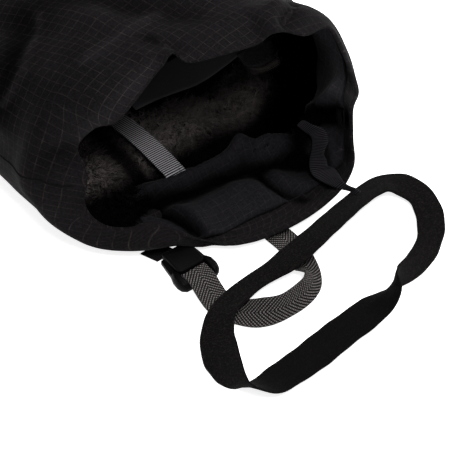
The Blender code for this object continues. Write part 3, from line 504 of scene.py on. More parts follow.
def painted_fold_shade(piece, field):
    """Stores painted shade on the points for the cloth's colour: above 0 it darkens the cloth in and beside
    its folds, below 0 it makes it paler as painted light.
    """
    values = np.zeros(len(piece.data.vertices))
    values[:field.size] = field.ravel()
    layer = piece.data.attributes.new("fold", "FLOAT", "POINT")
    layer.data.foreach_set("value", values)


# Meshes
def new_piece(name, verts, faces, material, uvs, turned):
    """Mesh object from points, with one UV pair for each corner of each face."""
    mesh = bpy.data.meshes.new(name)
    verts = np.asarray(verts) + ORIGIN
    if turned:
        faces = [tuple(reversed(f)) for f in faces]
        uvs = [tuple(reversed(f)) for f in uvs]
    mesh.from_pydata([tuple(v) for v in verts], [], faces)
    layer = mesh.uv_layers.new(name="weave")
    layer.data.foreach_set("uv", np.array([c for f in uvs for c in f], float).ravel())
    mesh.polygons.foreach_set("use_smooth", [True] * len(mesh.polygons))
    mesh.materials.append(material)
    mesh.update()
    piece = bpy.data.objects.new(name, mesh)
    bpy.context.scene.collection.objects.link(piece)
    return piece


def grid_faces(rings, count, closed_along=False):
    """Quads of a grid, closed round, as pairs of (ring, column) corners."""
    quads = []
    for r in range(rings if closed_along else rings - 1):
        for i in range(count):
            quads.append(((r, i), (r, i + 1), (r + 1, i + 1), (r + 1, i)))
    return quads


def grid_piece(name, grid, material, u, v, closed_along=False, ends=(True, True), turned=False):
    """Piece through a grid of points, with u and v lengths in metres as its UV map."""
    rings, count = grid.shape[:2]
    verts = list(grid.reshape(-1, 3))
    faces = []
    uvs = []
    for quad in grid_faces(rings, count, closed_along):
        faces.append(tuple((r % rings) * count + i % count for r, i in quad))
        if v.ndim == 1:
            uvs.append(tuple((u[i], v[r]) for r, i in quad))
        else:
            uvs.append(tuple((u[r % rings, i], v[r % rings, i]) for r, i in quad))
    for ring, order, capped in ((0, -1, ends[0]), (rings - 1, 1, ends[1])):
        if not capped or closed_along:
            continue
        verts.append(grid[ring].mean(axis=0))
        hub = len(verts) - 1
        base = ring * count
        for i in range(count):
            pair = (base + i, base + (i + 1) % count)[::order]
            faces.append((pair[0], pair[1], hub))
            if v.ndim == 1:
                uvs.append(((u[i], 0.0), (u[i + 1], 0.0), (u[i], 0.01)))
            else:
                edge = [(u[ring, k], v[ring, k]) for k in (i, i + 1)][::order]
                uvs.append((*edge, (u[ring].mean(), v[ring].mean())))
    return new_piece(name, verts, faces, material, uvs, turned)


def lengths(line, closed=False):
    """Distance along a line of points, from its start; one more where it closes."""
    if closed:
        line = np.vstack([line, line[:1]])
    return np.concatenate([[0.0], np.cumsum(np.linalg.norm(np.diff(line, axis=0), axis=1))])


def cloth_uv(grid):
    """Woven lengths over a ring grid: unrolled across from the top, straight along."""
    closed = np.concatenate([grid, grid[:, :1]], axis=1)
    steps = np.linalg.norm(np.diff(closed[:, :, (0, 2)], axis=1), axis=2)
    round_way = np.concatenate([np.zeros((len(grid), 1)), np.cumsum(steps, axis=1)], axis=1)
    top = grid.shape[1] // 2
    u = grid[:, top:top + 1, 0] - round_way + round_way[:, top:top + 1]
    for _ in range(6 * FINE):
        u[:, 1:-1] = (u[:, :-2] + u[:, 2:] + 2 * u[:, 1:-1]) / 4
        u[1:-1] = (u[:-2] + u[2:] + 2 * u[1:-1]) / 4
    return u, closed[:, :, 1].copy()


def settled(piece, slot_name, *nodes):
    """Rides a finished piece on the part and hides the solids it stands for; slot_name, its finish's slot, is
    not used.
    """
    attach(piece, "root")
    if nodes:
        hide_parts(*nodes)
    return piece


# Bands
def tip_way(toward, lean):
    turn = math.radians(toward)
    tilt = math.radians(lean)
    return np.array([math.sin(tilt) * math.cos(turn), math.sin(tilt) * math.sin(turn), math.cos(tilt)])


def band_edges(low, rows, width, steps, closed):
    """Lower edge line of a band and the unit way to its upper edge, with its widths."""
    ways = np.array([tip_way(r[3], r[4]) for r in rows])
    table = np.column_stack([low, ways, np.broadcast_to(width, len(rows))])
    samples = looped(table, steps) if closed else stretched(table, [steps] * (len(rows) - 1))
    return samples[:, :3], unit(samples[:, 3:6]), samples[:, 6]


def band_piece(name, edges, thick, material, closed, across=12, relief=None, edge_wave=None):
    """Flat band with rounded selvedges; relief gives its height by (along, across)."""
    low, way, width = edges
    middle = low + way * width[:, None] / 2
    if closed:
        along = unit(np.roll(middle, -1, axis=0) - np.roll(middle, 1, axis=0))
    else:
        along = unit(np.gradient(middle, axis=0))
    face = unit(np.cross(along, way))
    run = lengths(middle, closed)
    half = thick / 2
    profile = []
    for k in range(across + 1):
        profile.append((k / across, 1.0))
    profile.append((1.0, 0.0))
    for k in range(across, -1, -1):
        profile.append((k / across, -1.0))
    profile.append((0.0, 0.0))
    rows = []
    for i in range(len(low)):
        wave = edge_wave(run[i]) if edge_wave else 0.0
        ring = []
        for share, side in profile:
            inset = half * 0.55 * (1 if share in (0.0, 1.0) and side != 0 else 0)
            place = share * width[i] + (inset if share == 0.0 else -inset) + wave * (share - 0.5) * 2
            rise = 0.0
            if relief and 0.0 < share < 1.0:
                rise = relief(run[i], share * width[i], width[i], side)
            high = half * (0.72 if share in (0.0, 1.0) else 1.0) + rise
            ring.append(low[i] + way[i] * place + face[i] * side * high)
        rows.append(ring)
    grid = np.array(rows)
    around = []
    for share, side in profile + profile[:1]:
        around.append(share * float(width.mean()) + (0.0 if side > 0 else 0.1))
    around = np.array(around)
    return grid_piece(name, grid, material, around, run, closed, (not closed, not closed))


def leash_band(steps):
    rows = np.array(LEASH_ROWS)
    low = np.column_stack([
        LEASH_MIDDLE[0] + rows[:, 0] * LEASH_LENGTH / 2,
        LEASH_MIDDLE[1] + rows[:, 1] * LEASH_DEPTH / 2,
        rows[:, 2] * LEASH_WALL,
    ])
    return band_edges(low, LEASH_ROWS, LEASH_WIDTH, steps, True)


def pull_band(steps):
    rows = np.array(PULL_ROWS)
    low = np.column_stack([
        PULL_START[0] + rows[:, 0] * PULL_SPAN,
        PULL_START[1] + rows[:, 1] * PULL_REACH,
        rows[:, 2] * PULL_WALL,
    ])
    return band_edges(low, PULL_ROWS, PULL_WIDTH, steps, False)


def tether_band(steps):
    rows = np.array(TETHER_ROWS)
    wide = 1.0 + 0.55 * np.sin(math.pi * np.linspace(0.0, 1.0, len(rows)) ** 0.8)
    return band_edges(rows[:, :3], TETHER_ROWS, rows[:, 5] * TETHER_WIDTH * wide, steps, False)


# Materials
def linear(code):
    """Linear colour of an sRGB hex value."""
    parts = [int(code[i:i + 2], 16) / 255 for i in (1, 3, 5)]
    return tuple(c / 12.92 if c <= 0.04045 else ((c + 0.055) / 1.055) ** 2.4 for c in parts) + (1.0,)


def add(tree, kind, inputs=None, **settings):
    """Adds a node with its settings; an input is a value or the socket that feeds it."""
    node = tree.nodes.new(kind)
    for name, value in settings.items():
        setattr(node, name, value)
    for key, value in (inputs or {}).items():
        if isinstance(value, bpy.types.NodeSocket):
            tree.links.new(value, node.inputs[key])
        else:
            node.inputs[key].default_value = value
    return node


def new_material(name, roughness, sheen=0.0, specular=0.5):
    material = bpy.data.materials.new(name)
    material.use_nodes = True
    shader = material.node_tree.nodes["Principled BSDF"]
    shader.inputs["Roughness"].default_value = roughness
    shader.inputs["Sheen Weight"].default_value = sheen
    shader.inputs["Sheen Roughness"].default_value = 0.45
    shader.inputs["Specular IOR Level"].default_value = specular
    return material, material.node_tree, shader


def maths(tree, operation, *values):
    return add(tree, "ShaderNodeMath", dict(enumerate(values)), operation=operation).outputs[0]


def mixed(tree, factor, a, b, kind="MIX"):
    node = add(tree, "ShaderNodeMix", {"Factor": factor}, data_type="RGBA", blend_type=kind)
    for key, value in ((6, a), (7, b)):
        if isinstance(value, bpy.types.NodeSocket):
            tree.links.new(value, node.inputs[key])
        else:
            node.inputs[key].default_value = value
    return node.outputs[2]


def threads(tree, coordinate, pitch, width, soft):
    """1 on thin lines a pitch apart along a coordinate, 0 between them."""
    place = maths(tree, "PINGPONG", coordinate, pitch / 2)
    return add(tree, "ShaderNodeMapRange", {
        "Value": place, "From Min": width / 2 - soft, "From Max": width / 2 + soft,
        "To Min": 1.0, "To Max": 0.0,
    }).outputs[0]


def uv_lengths(tree):
    uv = add(tree, "ShaderNodeUVMap", uv_map="weave").outputs[0]
    parts = add(tree, "ShaderNodeSeparateXYZ", {0: uv})
    return parts.outputs[0], parts.outputs[1]


def mottling(tree, scale, detail=3.0, rough=0.55):
    place = add(tree, "ShaderNodeTexCoord").outputs["Object"]
    return add(tree, "ShaderNodeTexNoise", {
        "Vector": place, "Scale": scale, "Detail": detail, "Roughness": rough,
    }).outputs[0]


def dimmed_gloss(tree, shader, shade, specular, sheen):
    """Scales a finish's gloss by its painted shade factor, so that painted shade in deep folds and hollows
    stays dark.
    """
    if shade != 1.0:
        tree.links.new(maths(tree, "MULTIPLY", shade, specular), shader.inputs["Specular IOR Level"])
        tree.links.new(maths(tree, "MULTIPLY", shade, sheen), shader.inputs["Sheen Weight"])


def ripstop_nylon(name, base, thread, dark, line_strength=1.0, skew=0.0):
    """Plain-woven nylon with a reinforcing thread about every 5 mm both ways: a faint pale grid
    on charcoal, matt, with a soft sheen at grazing angles."""
    material, tree, shader = new_material(name, 0.85, 0.012, 0.04)
    u, v = uv_lengths(tree)
    cloudy = mottling(tree, 55.0)
    fine = mottling(tree, 900.0, 2.0)
    worn = add(tree, "ShaderNodeMapRange", {
        "Value": mottling(tree, 260.0, 4.0, 0.7), "From Min": 0.35, "From Max": 0.68,
    }).outputs[0]
    turned_u = maths(tree, "ADD", maths(tree, "MULTIPLY", u, 1.0 - skew * 0.04),
                     maths(tree, "MULTIPLY", v, skew))
    turned_v = maths(tree, "SUBTRACT", v, maths(tree, "MULTIPLY", u, skew * 0.4))
    one_way = threads(tree, turned_u, RIP_PITCH, RIP_WIDTH, RIP_SOFT)
    other_way = threads(tree, turned_v, RIP_PITCH, RIP_WIDTH, RIP_SOFT)
    knots = maths(tree, "MULTIPLY", maths(tree, "MULTIPLY", one_way, other_way), 0.6)
    grid = maths(tree, "ADD", maths(tree, "MAXIMUM", one_way, other_way), knots)
    line = maths(tree, "MULTIPLY", maths(tree, "MULTIPLY", grid, worn), 0.62 * line_strength)
    ground = mixed(tree, cloudy, linear(dark), linear(base))
    speck = add(tree, "ShaderNodeMapRange", {
        "Value": fine, "From Min": 0.3, "From Max": 0.75, "To Min": 0.65, "To Max": 1.4,
    }).outputs[0]
    ground = mixed(tree, 1.0, ground, speck, "MULTIPLY")
    colour = mixed(tree, line, ground, linear(thread))
    # Painted shade and light: the fold value darkens the colour and gloss in the folds, and makes them paler
    # where it is below 0
    fold = add(tree, "ShaderNodeAttribute", attribute_name="fold").outputs["Fac"]
    painted_shade_factor = maths(tree, "SUBTRACT", 1.0, maths(tree, "MULTIPLY", fold, 0.94))
    tree.links.new(mixed(tree, 1.0, colour, painted_shade_factor, "MULTIPLY"), shader.inputs["Base Color"])
    dimmed_gloss(tree, shader, painted_shade_factor, 0.04, 0.012)
    weave = maths(tree, "MULTIPLY", maths(tree, "SINE", maths(tree, "MULTIPLY", u, 2 * math.pi / 0.0009)),
                  maths(tree, "SINE", maths(tree, "MULTIPLY", v, 2 * math.pi / 0.0009)))
    height = maths(tree, "ADD", maths(tree, "MULTIPLY", weave, 0.35),
                   maths(tree, "ADD", maths(tree, "MULTIPLY", grid, 0.8), fine))
    bump = add(tree, "ShaderNodeBump", {"Strength": 0.45, "Distance": 0.00025, "Height": height})
    tree.links.new(bump.outputs[0], shader.inputs["Normal"])
    return material


def pile_yarn(name, root, tip, warm, with_painted_shade):
    """Long acrylic pile: fibres darker towards their roots as painted shade deep in the pile, and grey-brown
    at their tips.
    """
    material, tree, shader = new_material(name, 0.7, 0.03, 0.10)
    along = add(tree, "ShaderNodeAttribute", attribute_name="tip").outputs["Fac"]
    ends = mixed(tree, mottling(tree, 120.0), linear(tip), linear(warm))
    colour = mixed(tree, maths(tree, "POWER", along, 0.9), linear(root), ends)
    patch = add(tree, "ShaderNodeMapRange", {
        "Value": mottling(tree, 300.0, 2.0), "From Min": 0.3, "From Max": 0.7, "To Min": 0.55, "To Max": 1.4,
    }).outputs[0]
    # Painted shade and light of the lining's hollows, on the colour and the gloss
    depth = painted_lining_light_and_shade(tree) if with_painted_shade else 1.0
    tone = mixed(tree, 1.0, colour, maths(tree, "MULTIPLY", patch, depth), "MULTIPLY")
    tree.links.new(tone, shader.inputs["Base Color"])
    dimmed_gloss(tree, shader, depth, 0.10, 0.03)
    return material


def painted_lining_light_and_shade(tree):
    """Painted shade on a lining's colour in its hollows: the cuff's right wall, its depth, the dip behind
    the lip and the one beside the inner strap; its left side gets painted light, up to 1.6 times paler."""
    place = add(tree, "ShaderNodeTexCoord").outputs["Object"]
    parts = add(tree, "ShaderNodeSeparateXYZ", {0: place})
    x, y = parts.outputs[0], parts.outputs[1]

    def fade(value, start, end, low, high):
        return add(tree, "ShaderNodeMapRange", {
            "Value": value, "From Min": start, "From Max": end, "To Min": low, "To Max": high,
        }, interpolation_type="SMOOTHSTEP").outputs[0]

    dip = maths(tree, "ABSOLUTE", maths(tree, "ADD", x, 0.0325))
    aslant = maths(tree, "SUBTRACT", x, maths(tree, "MULTIPLY", y, 0.78))
    shade = maths(tree, "MULTIPLY", fade(aslant, 0.100, 0.127, 1.0, 0.02), fade(y, -0.050, 0.000, 1.0, 0.8))
    shade = maths(tree, "MULTIPLY", shade, fade(y, -0.084, -0.066, 0.02, 1.0))
    shade = maths(tree, "MULTIPLY", shade, fade(x, -0.048, -0.038, 1.6, 1.0))
    return maths(tree, "MULTIPLY", shade, fade(dip, 0.0030, 0.0090, 0.12, 1.0))


def pile_ground(name, colour, dark, with_painted_shade):
    """Knitted ground under the pile, hardly seen: dark and matt."""
    material, tree, shader = new_material(name, 0.95, 0.0, 0.03)
    tone = mixed(tree, mottling(tree, 300.0, 4.0), linear(dark), linear(colour))
    # Painted shade and light of the lining's hollows, on the colour and the gloss
    if with_painted_shade:
        shade = painted_lining_light_and_shade(tree)
        tone = mixed(tree, 1.0, tone, shade, "MULTIPLY")
        dimmed_gloss(tree, shader, shade, 0.03, 0.0)
    tree.links.new(tone, shader.inputs["Base Color"])
    bump = add(tree, "ShaderNodeBump", {
        "Strength": 0.7, "Distance": 0.001, "Height": mottling(tree, 700.0, 4.0),
    })
    tree.links.new(bump.outputs[0], shader.inputs["Normal"])
    return material


def brushed_elastic(name, base, fleck, ribs):
    """Woven elastic with a brushed face: near black, with fine lengthwise ribs and grey flecks."""
    material, tree, shader = new_material(name, 0.92, 0.01, 0.02)
    u, v = uv_lengths(tree)
    flecks = add(tree, "ShaderNodeMapRange", {
        "Value": mottling(tree, 1100.0, 3.0, 0.7), "From Min": 0.5, "From Max": 0.72,
    }).outputs[0]
    inner = maths(tree, "GREATER_THAN", u, 0.05)
    strength = maths(tree, "ADD", maths(tree, "MULTIPLY", inner, 0.7), 0.2)
    colour = mixed(tree, maths(tree, "MULTIPLY", flecks, strength), linear(base), linear(fleck))
    tree.links.new(colour, shader.inputs["Base Color"])
    rib = maths(tree, "SINE", maths(tree, "MULTIPLY", u, 2 * math.pi / 0.0012))
    cross = maths(tree, "SINE", maths(tree, "MULTIPLY", v, 2 * math.pi / 0.0010))
    height = maths(tree, "ADD", maths(tree, "MULTIPLY", maths(tree, "MULTIPLY", rib, cross), ribs), flecks)
    bump = add(tree, "ShaderNodeBump", {"Strength": 0.6, "Distance": 0.0003, "Height": height})
    tree.links.new(bump.outputs[0], shader.inputs["Normal"])
    return material


def herringbone_webbing(name, light, dark):
    """Twill webbing in a herringbone: pale threads with dark lines slanting to its middle,
    crossed by finer dark lines."""
    material, tree, shader = new_material(name, 0.8, 0.005, 0.03)
    u, v = uv_lengths(tree)
    side = maths(tree, "PINGPONG", u, 0.0075)
    slant = maths(tree, "ADD", v, side)
    cross = maths(tree, "SUBTRACT", v, maths(tree, "MULTIPLY", side, 0.9))
    strong = threads(tree, slant, 0.0020, 0.00115, 0.00020)
    weak = threads(tree, cross, 0.0016, 0.00070, 0.00018)
    gaps = maths(tree, "MAXIMUM", maths(tree, "MULTIPLY", strong, 0.97), maths(tree, "MULTIPLY", weak, 0.82))
    rough = add(tree, "ShaderNodeMapRange", {
        "Value": mottling(tree, 500.0), "To Min": 0.75, "To Max": 1.2,
    }).outputs[0]
    colour = mixed(tree, 1.0, mixed(tree, gaps, linear(light), linear(dark)), rough, "MULTIPLY")
    tree.links.new(colour, shader.inputs["Base Color"])
    bump = add(tree, "ShaderNodeBump", {
        "Strength": 0.8, "Distance": 0.0004, "Height": maths(tree, "SUBTRACT", 1.0, gaps),
    })
    tree.links.new(bump.outputs[0], shader.inputs["Normal"])
    return material


def ribbed_webbing(name, light, dark, pitch):
    """Grosgrain tape: pale ribs across it, with a dark line in each valley."""
    material, tree, shader = new_material(name, 0.8, 0.005, 0.03)
    u, v = uv_lengths(tree)
    rib = maths(tree, "COSINE", maths(tree, "MULTIPLY", v, 2 * math.pi / pitch))
    warp = maths(tree, "SINE", maths(tree, "MULTIPLY", u, 2 * math.pi / 0.0009))
    warp = maths(tree, "MULTIPLY", warp, 0.18)
    show = add(tree, "ShaderNodeMapRange", {
        "Value": maths(tree, "ADD", rib, warp), "From Min": -0.30, "From Max": 0.60,
    }).outputs[0]
    rough = add(tree, "ShaderNodeMapRange", {
        "Value": mottling(tree, 600.0), "To Min": 0.82, "To Max": 1.12,
    }).outputs[0]
    colour = mixed(tree, 1.0, mixed(tree, show, linear(dark), linear(light)), rough, "MULTIPLY")
    tree.links.new(colour, shader.inputs["Base Color"])
    bump = add(tree, "ShaderNodeBump", {"Strength": 0.6, "Distance": 0.0003, "Height": show})
    tree.links.new(bump.outputs[0], shader.inputs["Normal"])
    return material


def moulded_acetal(name, base):
    """Injection-moulded acetal: black, satin, faintly grained by its mould."""
    material, tree, shader = new_material(name, 0.42, 0.0, 0.03)
    tone = mixed(tree, mottling(tree, 90.0), linear(base), linear("#0a0a0b"))
    tree.links.new(tone, shader.inputs["Base Color"])
    bump = add(tree, "ShaderNodeBump", {
        "Strength": 0.25, "Distance": 0.0001, "Height": mottling(tree, 2500.0, 2.0),
    })
    tree.links.new(bump.outputs[0], shader.inputs["Normal"])
    return material


def satin_tape(name, base, edge):
    """Smooth polyester satin tape, black, with a low soft shine."""
    material, tree, shader = new_material(name, 0.5, 0.0, 0.12)
    _, v = uv_lengths(tree)
    tone = mixed(tree, mottling(tree, 70.0), linear(base), linear(edge))
    tree.links.new(tone, shader.inputs["Base Color"])
    weave = maths(tree, "SINE", maths(tree, "MULTIPLY", v, 2 * math.pi / 0.0006))
    bump = add(tree, "ShaderNodeBump", {"Strength": 0.15, "Distance": 0.0001, "Height": weave})
    tree.links.new(bump.outputs[0], shader.inputs["Normal"])
    return material


def plain_floor():
    """White light table, which leaves only faint shadows."""
    material, tree, shader = new_material("pale_floor", 0.95, 0.0, 0.1)
    tone = mixed(tree, mottling(tree, 4.0), linear("#fbfbfb"), linear("#f6f6f6"))
    tree.links.new(tone, shader.inputs["Base Color"])
    shader.inputs["Emission Color"].default_value = (1.0, 1.0, 1.0, 1.0)
    shader.inputs["Emission Strength"].default_value = 0.80
    return material


# Repeats by geometry nodes
def scatter_tree():
    """Items stood on a surface: as many as its cover says, leaning along its nap."""
    tree = bpy.data.node_groups.new("pile_scatter", "GeometryNodeTree")
    sockets = (
        ("Geometry", "NodeSocketGeometry"), ("Per Area", "NodeSocketFloat"), ("Size", "NodeSocketFloat"),
        ("Spread", "NodeSocketFloat"), ("Seed", "NodeSocketInt"), ("Item", "NodeSocketObject"),
        ("Material", "NodeSocketMaterial"),
    )
    for label, kind in sockets:
        tree.interface.new_socket(label, in_out="INPUT", socket_type=kind)
    tree.interface.new_socket("Geometry", in_out="OUTPUT", socket_type="NodeSocketGeometry")
    given = add(tree, "NodeGroupInput").outputs
    cover = add(tree, "GeometryNodeInputNamedAttribute", {"Name": "cover"}, data_type="FLOAT").outputs[0]
    nap = add(tree, "GeometryNodeInputNamedAttribute", {"Name": "nap"}, data_type="FLOAT_VECTOR").outputs[0]
    points = add(tree, "GeometryNodeDistributePointsOnFaces", {
        "Mesh": given["Geometry"],
        "Density": maths(tree, "MULTIPLY", cover, given["Per Area"]), "Seed": given["Seed"],
    }).outputs[0]
    lean = add(tree, "FunctionNodeAlignRotationToVector", {"Vector": nap}, axis="Z").outputs[0]
    other_way = maths(tree, "MULTIPLY", given["Spread"], -1.0)
    least = add(tree, "ShaderNodeCombineXYZ", {0: other_way, 1: other_way, 2: 0.0}).outputs[0]
    most = add(tree, "ShaderNodeCombineXYZ", {
        0: given["Spread"], 1: given["Spread"], 2: 2 * math.pi,
    }).outputs[0]
    shake = add(tree, "FunctionNodeRandomValue", {
        0: least, 1: most, "Seed": given["Seed"],
    }, data_type="FLOAT_VECTOR").outputs[0]
    turn = add(tree, "FunctionNodeRotateRotation", {
        "Rotation": lean, "Rotate By": shake,
    }, rotation_space="LOCAL").outputs[0]
    grow = add(tree, "FunctionNodeRandomValue", {
        2: 0.65, 3: 1.25, "Seed": given["Seed"],
    }, data_type="FLOAT").outputs[1]
    item = add(tree, "GeometryNodeObjectInfo", {"Object": given["Item"]}).outputs["Geometry"]
    stood = add(tree, "GeometryNodeInstanceOnPoints", {
        "Points": points, "Instance": item, "Rotation": turn,
        "Scale": maths(tree, "MULTIPLY", grow, given["Size"]),
    }).outputs[0]
    real = add(tree, "GeometryNodeRealizeInstances", {0: stood}).outputs[0]
    dressed = add(tree, "GeometryNodeSetMaterial", {
        "Geometry": real, "Material": given["Material"],
    }).outputs[0]
    add(tree, "NodeGroupOutput", {0: dressed})
    return tree


def placed_tree():
    """Items at each point of a guide, turned by its own up and way directions."""
    tree = bpy.data.node_groups.new("stitch_rows", "GeometryNodeTree")
    for label, kind in (("Geometry", "NodeSocketGeometry"), ("Size", "NodeSocketFloat"),
                        ("Item", "NodeSocketObject"), ("Material", "NodeSocketMaterial")):
        tree.interface.new_socket(label, in_out="INPUT", socket_type=kind)
    tree.interface.new_socket("Geometry", in_out="OUTPUT", socket_type="NodeSocketGeometry")
    given = add(tree, "NodeGroupInput").outputs
    nap = add(tree, "GeometryNodeInputNamedAttribute", {"Name": "nap"}, data_type="FLOAT_VECTOR").outputs[0]
    way = add(tree, "GeometryNodeInputNamedAttribute", {"Name": "way"}, data_type="FLOAT_VECTOR").outputs[0]
    points = add(tree, "GeometryNodeMeshToPoints", {"Mesh": given["Geometry"]}).outputs[0]
    up = add(tree, "FunctionNodeAlignRotationToVector", {"Vector": nap}, axis="Z").outputs[0]
    turn = add(tree, "FunctionNodeAlignRotationToVector", {
        "Rotation": up, "Vector": way,
    }, axis="X", pivot_axis="Z").outputs[0]
    item = add(tree, "GeometryNodeObjectInfo", {"Object": given["Item"]}).outputs["Geometry"]
    stood = add(tree, "GeometryNodeInstanceOnPoints", {
        "Points": points, "Instance": item, "Rotation": turn, "Scale": given["Size"],
    }).outputs[0]
    real = add(tree, "GeometryNodeRealizeInstances", {0: stood}).outputs[0]
    dressed = add(tree, "GeometryNodeSetMaterial", {
        "Geometry": real, "Material": given["Material"],
    }).outputs[0]
    add(tree, "NodeGroupOutput", {0: dressed})
    return tree


def grown(name, guide, tree, material, **values):
    """Plain mesh piece from a guide with a node tree on it; the modifier is then removed."""
    step = guide.modifiers.new("grow", "NODES")
    step.node_group = tree
    values["Material"] = material
    for socket in tree.interface.items_tree:
        if socket.in_out == "INPUT" and socket.name.replace(" ", "_") in values:
            step[socket.identifier] = values[socket.name.replace(" ", "_")]
    bpy.context.view_layer.update()
    graph = bpy.context.evaluated_depsgraph_get()
    mesh = bpy.data.meshes.new_from_object(guide.evaluated_get(graph))
    guide.modifiers.remove(step)
    mesh.name = name
    if not mesh.materials:
        mesh.materials.append(material)
    piece = bpy.data.objects.new(name, mesh)
    bpy.context.scene.collection.objects.link(piece)
    return piece


def guide_points(name, points, ways, ups):
    """Loose points with their directions, as a guide for rows of stitches."""
    mesh = bpy.data.meshes.new(name)
    mesh.from_pydata([tuple(p) for p in np.asarray(points) + ORIGIN], [], [])
    for label, rows in (("way", ways), ("nap", ups)):
        layer = mesh.attributes.new(label, "FLOAT_VECTOR", "POINT")
        layer.data.foreach_set("vector", np.asarray(rows, float).ravel())
    guide = bpy.data.objects.new(name, mesh)
    bpy.context.scene.collection.objects.link(guide)
    return guide


def tuft(name, blades, length, width, seed):
    """A lock of pile: thin tapering blades that curve over together."""
    rng = np.random.default_rng(seed)
    verts = []
    faces = []
    tips = []
    for _ in range(blades):
        foot = rng.uniform(-1.0, 1.0, 2) * width * 2.2
        turn = rng.uniform(0.0, math.pi)
        side = np.array([math.cos(turn), math.sin(turn), 0.0])
        lean = np.array([rng.normal(0.0, 0.12), rng.normal(0.0, 0.12)])
        tall = length * rng.uniform(0.7, 1.15)
        bend = rng.uniform(0.25, 0.6)
        base = len(verts)
        for k, share in enumerate((0.0, 0.4, 0.75, 1.0)):
            middle = np.array([
                foot[0] + lean[0] * share * tall + bend * tall * share**2,
                foot[1] + lean[1] * share * tall,
                tall * share * (1.0 - 0.28 * bend * share),
            ])
            half = width * (1.0, 0.85, 0.5, 0.0)[k]
            if k < 3:
                verts += [middle - side * half, middle + side * half]
                tips += [share, share]
            else:
                verts.append(middle)
                tips.append(1.0)
        faces += [
            (base, base + 1, base + 3, base + 2), (base + 2, base + 3, base + 5, base + 4),
            (base + 4, base + 5, base + 6),
        ]
    mesh = bpy.data.meshes.new(name)
    mesh.from_pydata([tuple(v) for v in verts], [], faces)
    layer = mesh.attributes.new("tip", "FLOAT", "POINT")
    layer.data.foreach_set("value", tips)
    mesh.polygons.foreach_set("use_smooth", [True] * len(mesh.polygons))
    item = bpy.data.objects.new(name, mesh)
    bpy.context.scene.collection.objects.link(item)
    return item


def stitch(name, length, thick):
    """One sewn stitch: a short thread that dives in at both ends."""
    verts = []
    faces = []
    sides = 5
    for k in range(7):
        share = k / 6
        x = (share - 0.5) * length
        z = thick * 0.9 * math.sin(math.pi * share) - thick * 0.35
        for i in range(sides):
            turn = 2 * math.pi * i / sides
            verts.append((x, thick * 0.5 * math.cos(turn), z + thick * 0.5 * math.sin(turn)))
    for k in range(6):
        for i in range(sides):
            j = (i + 1) % sides
            faces.append((k * sides + i, k * sides + j, (k + 1) * sides + j, (k + 1) * sides + i))
    faces.append(tuple(range(sides))[::-1])
    faces.append(tuple(range(6 * sides, 7 * sides)))
    mesh = bpy.data.meshes.new(name)
    mesh.from_pydata(verts, [], faces)
    mesh.polygons.foreach_set("use_smooth", [True] * len(mesh.polygons))
    item = bpy.data.objects.new(name, mesh)
    bpy.context.scene.collection.objects.link(item)
    return item


def dropped(*things):
    for thing in things:
        bpy.data.objects.remove(thing)


# Body surfaces
SWEEP = tuple(s * 2 * FINE for s in RING_STEPS) + (4 * FINE,)
COLUMNS = 4 * FINE


def finer(coarse):
    """A coarse grid made as fine as the outer surface, both round and along."""
    rings = stretched(coarse, [2 * FINE] * (len(coarse) - 1))
    return looped(rings.transpose(1, 0, 2), COLUMNS).transpose(1, 0, 2)


outer = body_surface(COLUMNS, SWEEP)
plain = body_surface(1, RING_STEPS)
plain_normals = eased(grid_normals(plain), 10)


def under(depth):
    """The surface at a depth inside the cloth, as fine as the outer one."""
    return finer(plain - plain_normals * depth)


woven_u, woven_v = cloth_uv(outer)
ring_at = 2 * FINE          # fine rings to each coarse one
last = ring_at * (sum(RING_STEPS) - 1) + 1

# Shell: outer cloth, rolled rim, and the hem's inner strip back to where the facing starts
# Painted shade and light of the outer cloth, kept for its colour
outer_painted_light_and_shade = creases(outer, OUTER_PAINTED_LIGHT_AND_SHADE) * 1000
outer, outer_fold = creased(outer, OUTER_CREASES)
soft = wandering(outer, 0.032, 1) * 0.0009 + wandering(outer, 0.010, 2) * 0.0002
outer = outer + eased(grid_normals(outer), 1) * soft[:, :, None]
outer[:, :, 2] = np.maximum(outer[:, :, 2], 0.0002)
lining_side = under(WALL)
hem_rings = 4 * ring_at
hem = lining_side[:hem_rings]
along = unit(outer[2] - outer[0])
middle = (outer[0] + hem[0]) / 2
half = (outer[0] - hem[0]) / 2
reach = np.linalg.norm(half, axis=1, keepdims=True) * 1.15
roll = []
for k in range(1, 6):
    turn = math.pi * k / 6
    roll.append(middle + half * math.cos(turn) - along * reach * math.sin(turn))
turned_in = np.concatenate([hem[::-1], np.array(roll)[::-1], outer])
hem_v = woven_v[:hem_rings][::-1]
start_v = woven_v[:1]
v_rows = np.concatenate([2 * start_v - hem_v - 0.005, np.repeat(start_v, 5, axis=0) - 0.0025, woven_v])
u_rows = np.concatenate([woven_u[:hem_rings][::-1], np.repeat(woven_u[:1], 5, axis=0), woven_u])

ripstop = ripstop_nylon("ripstop_nylon_shell", "#131113", "#3c3532", "#0e0d0e", 1.0, 0.42)
shell = grid_piece("shell_cloth", turned_in, ripstop, u_rows, v_rows, False, (False, True))
# Painted shade and light on the shell: dark in and beside its folds, paler on their backs and on the hem's
# right wall
hem_painted_light_and_shade = np.clip(creases(hem, FACING_PAINTED_LIGHT_AND_SHADE) * 1000, -2.0, 1.0)
hem_roll_painted_light_and_shade = np.concatenate([hem_painted_light_and_shade[::-1], np.repeat(hem_painted_light_and_shade[:1] * 0.5, 5, axis=0)])
painted_fold_shade(shell, np.concatenate([hem_roll_painted_light_and_shade, np.clip(outer_fold * 0.5 + outer_painted_light_and_shade, -1.0, 0.9)]))

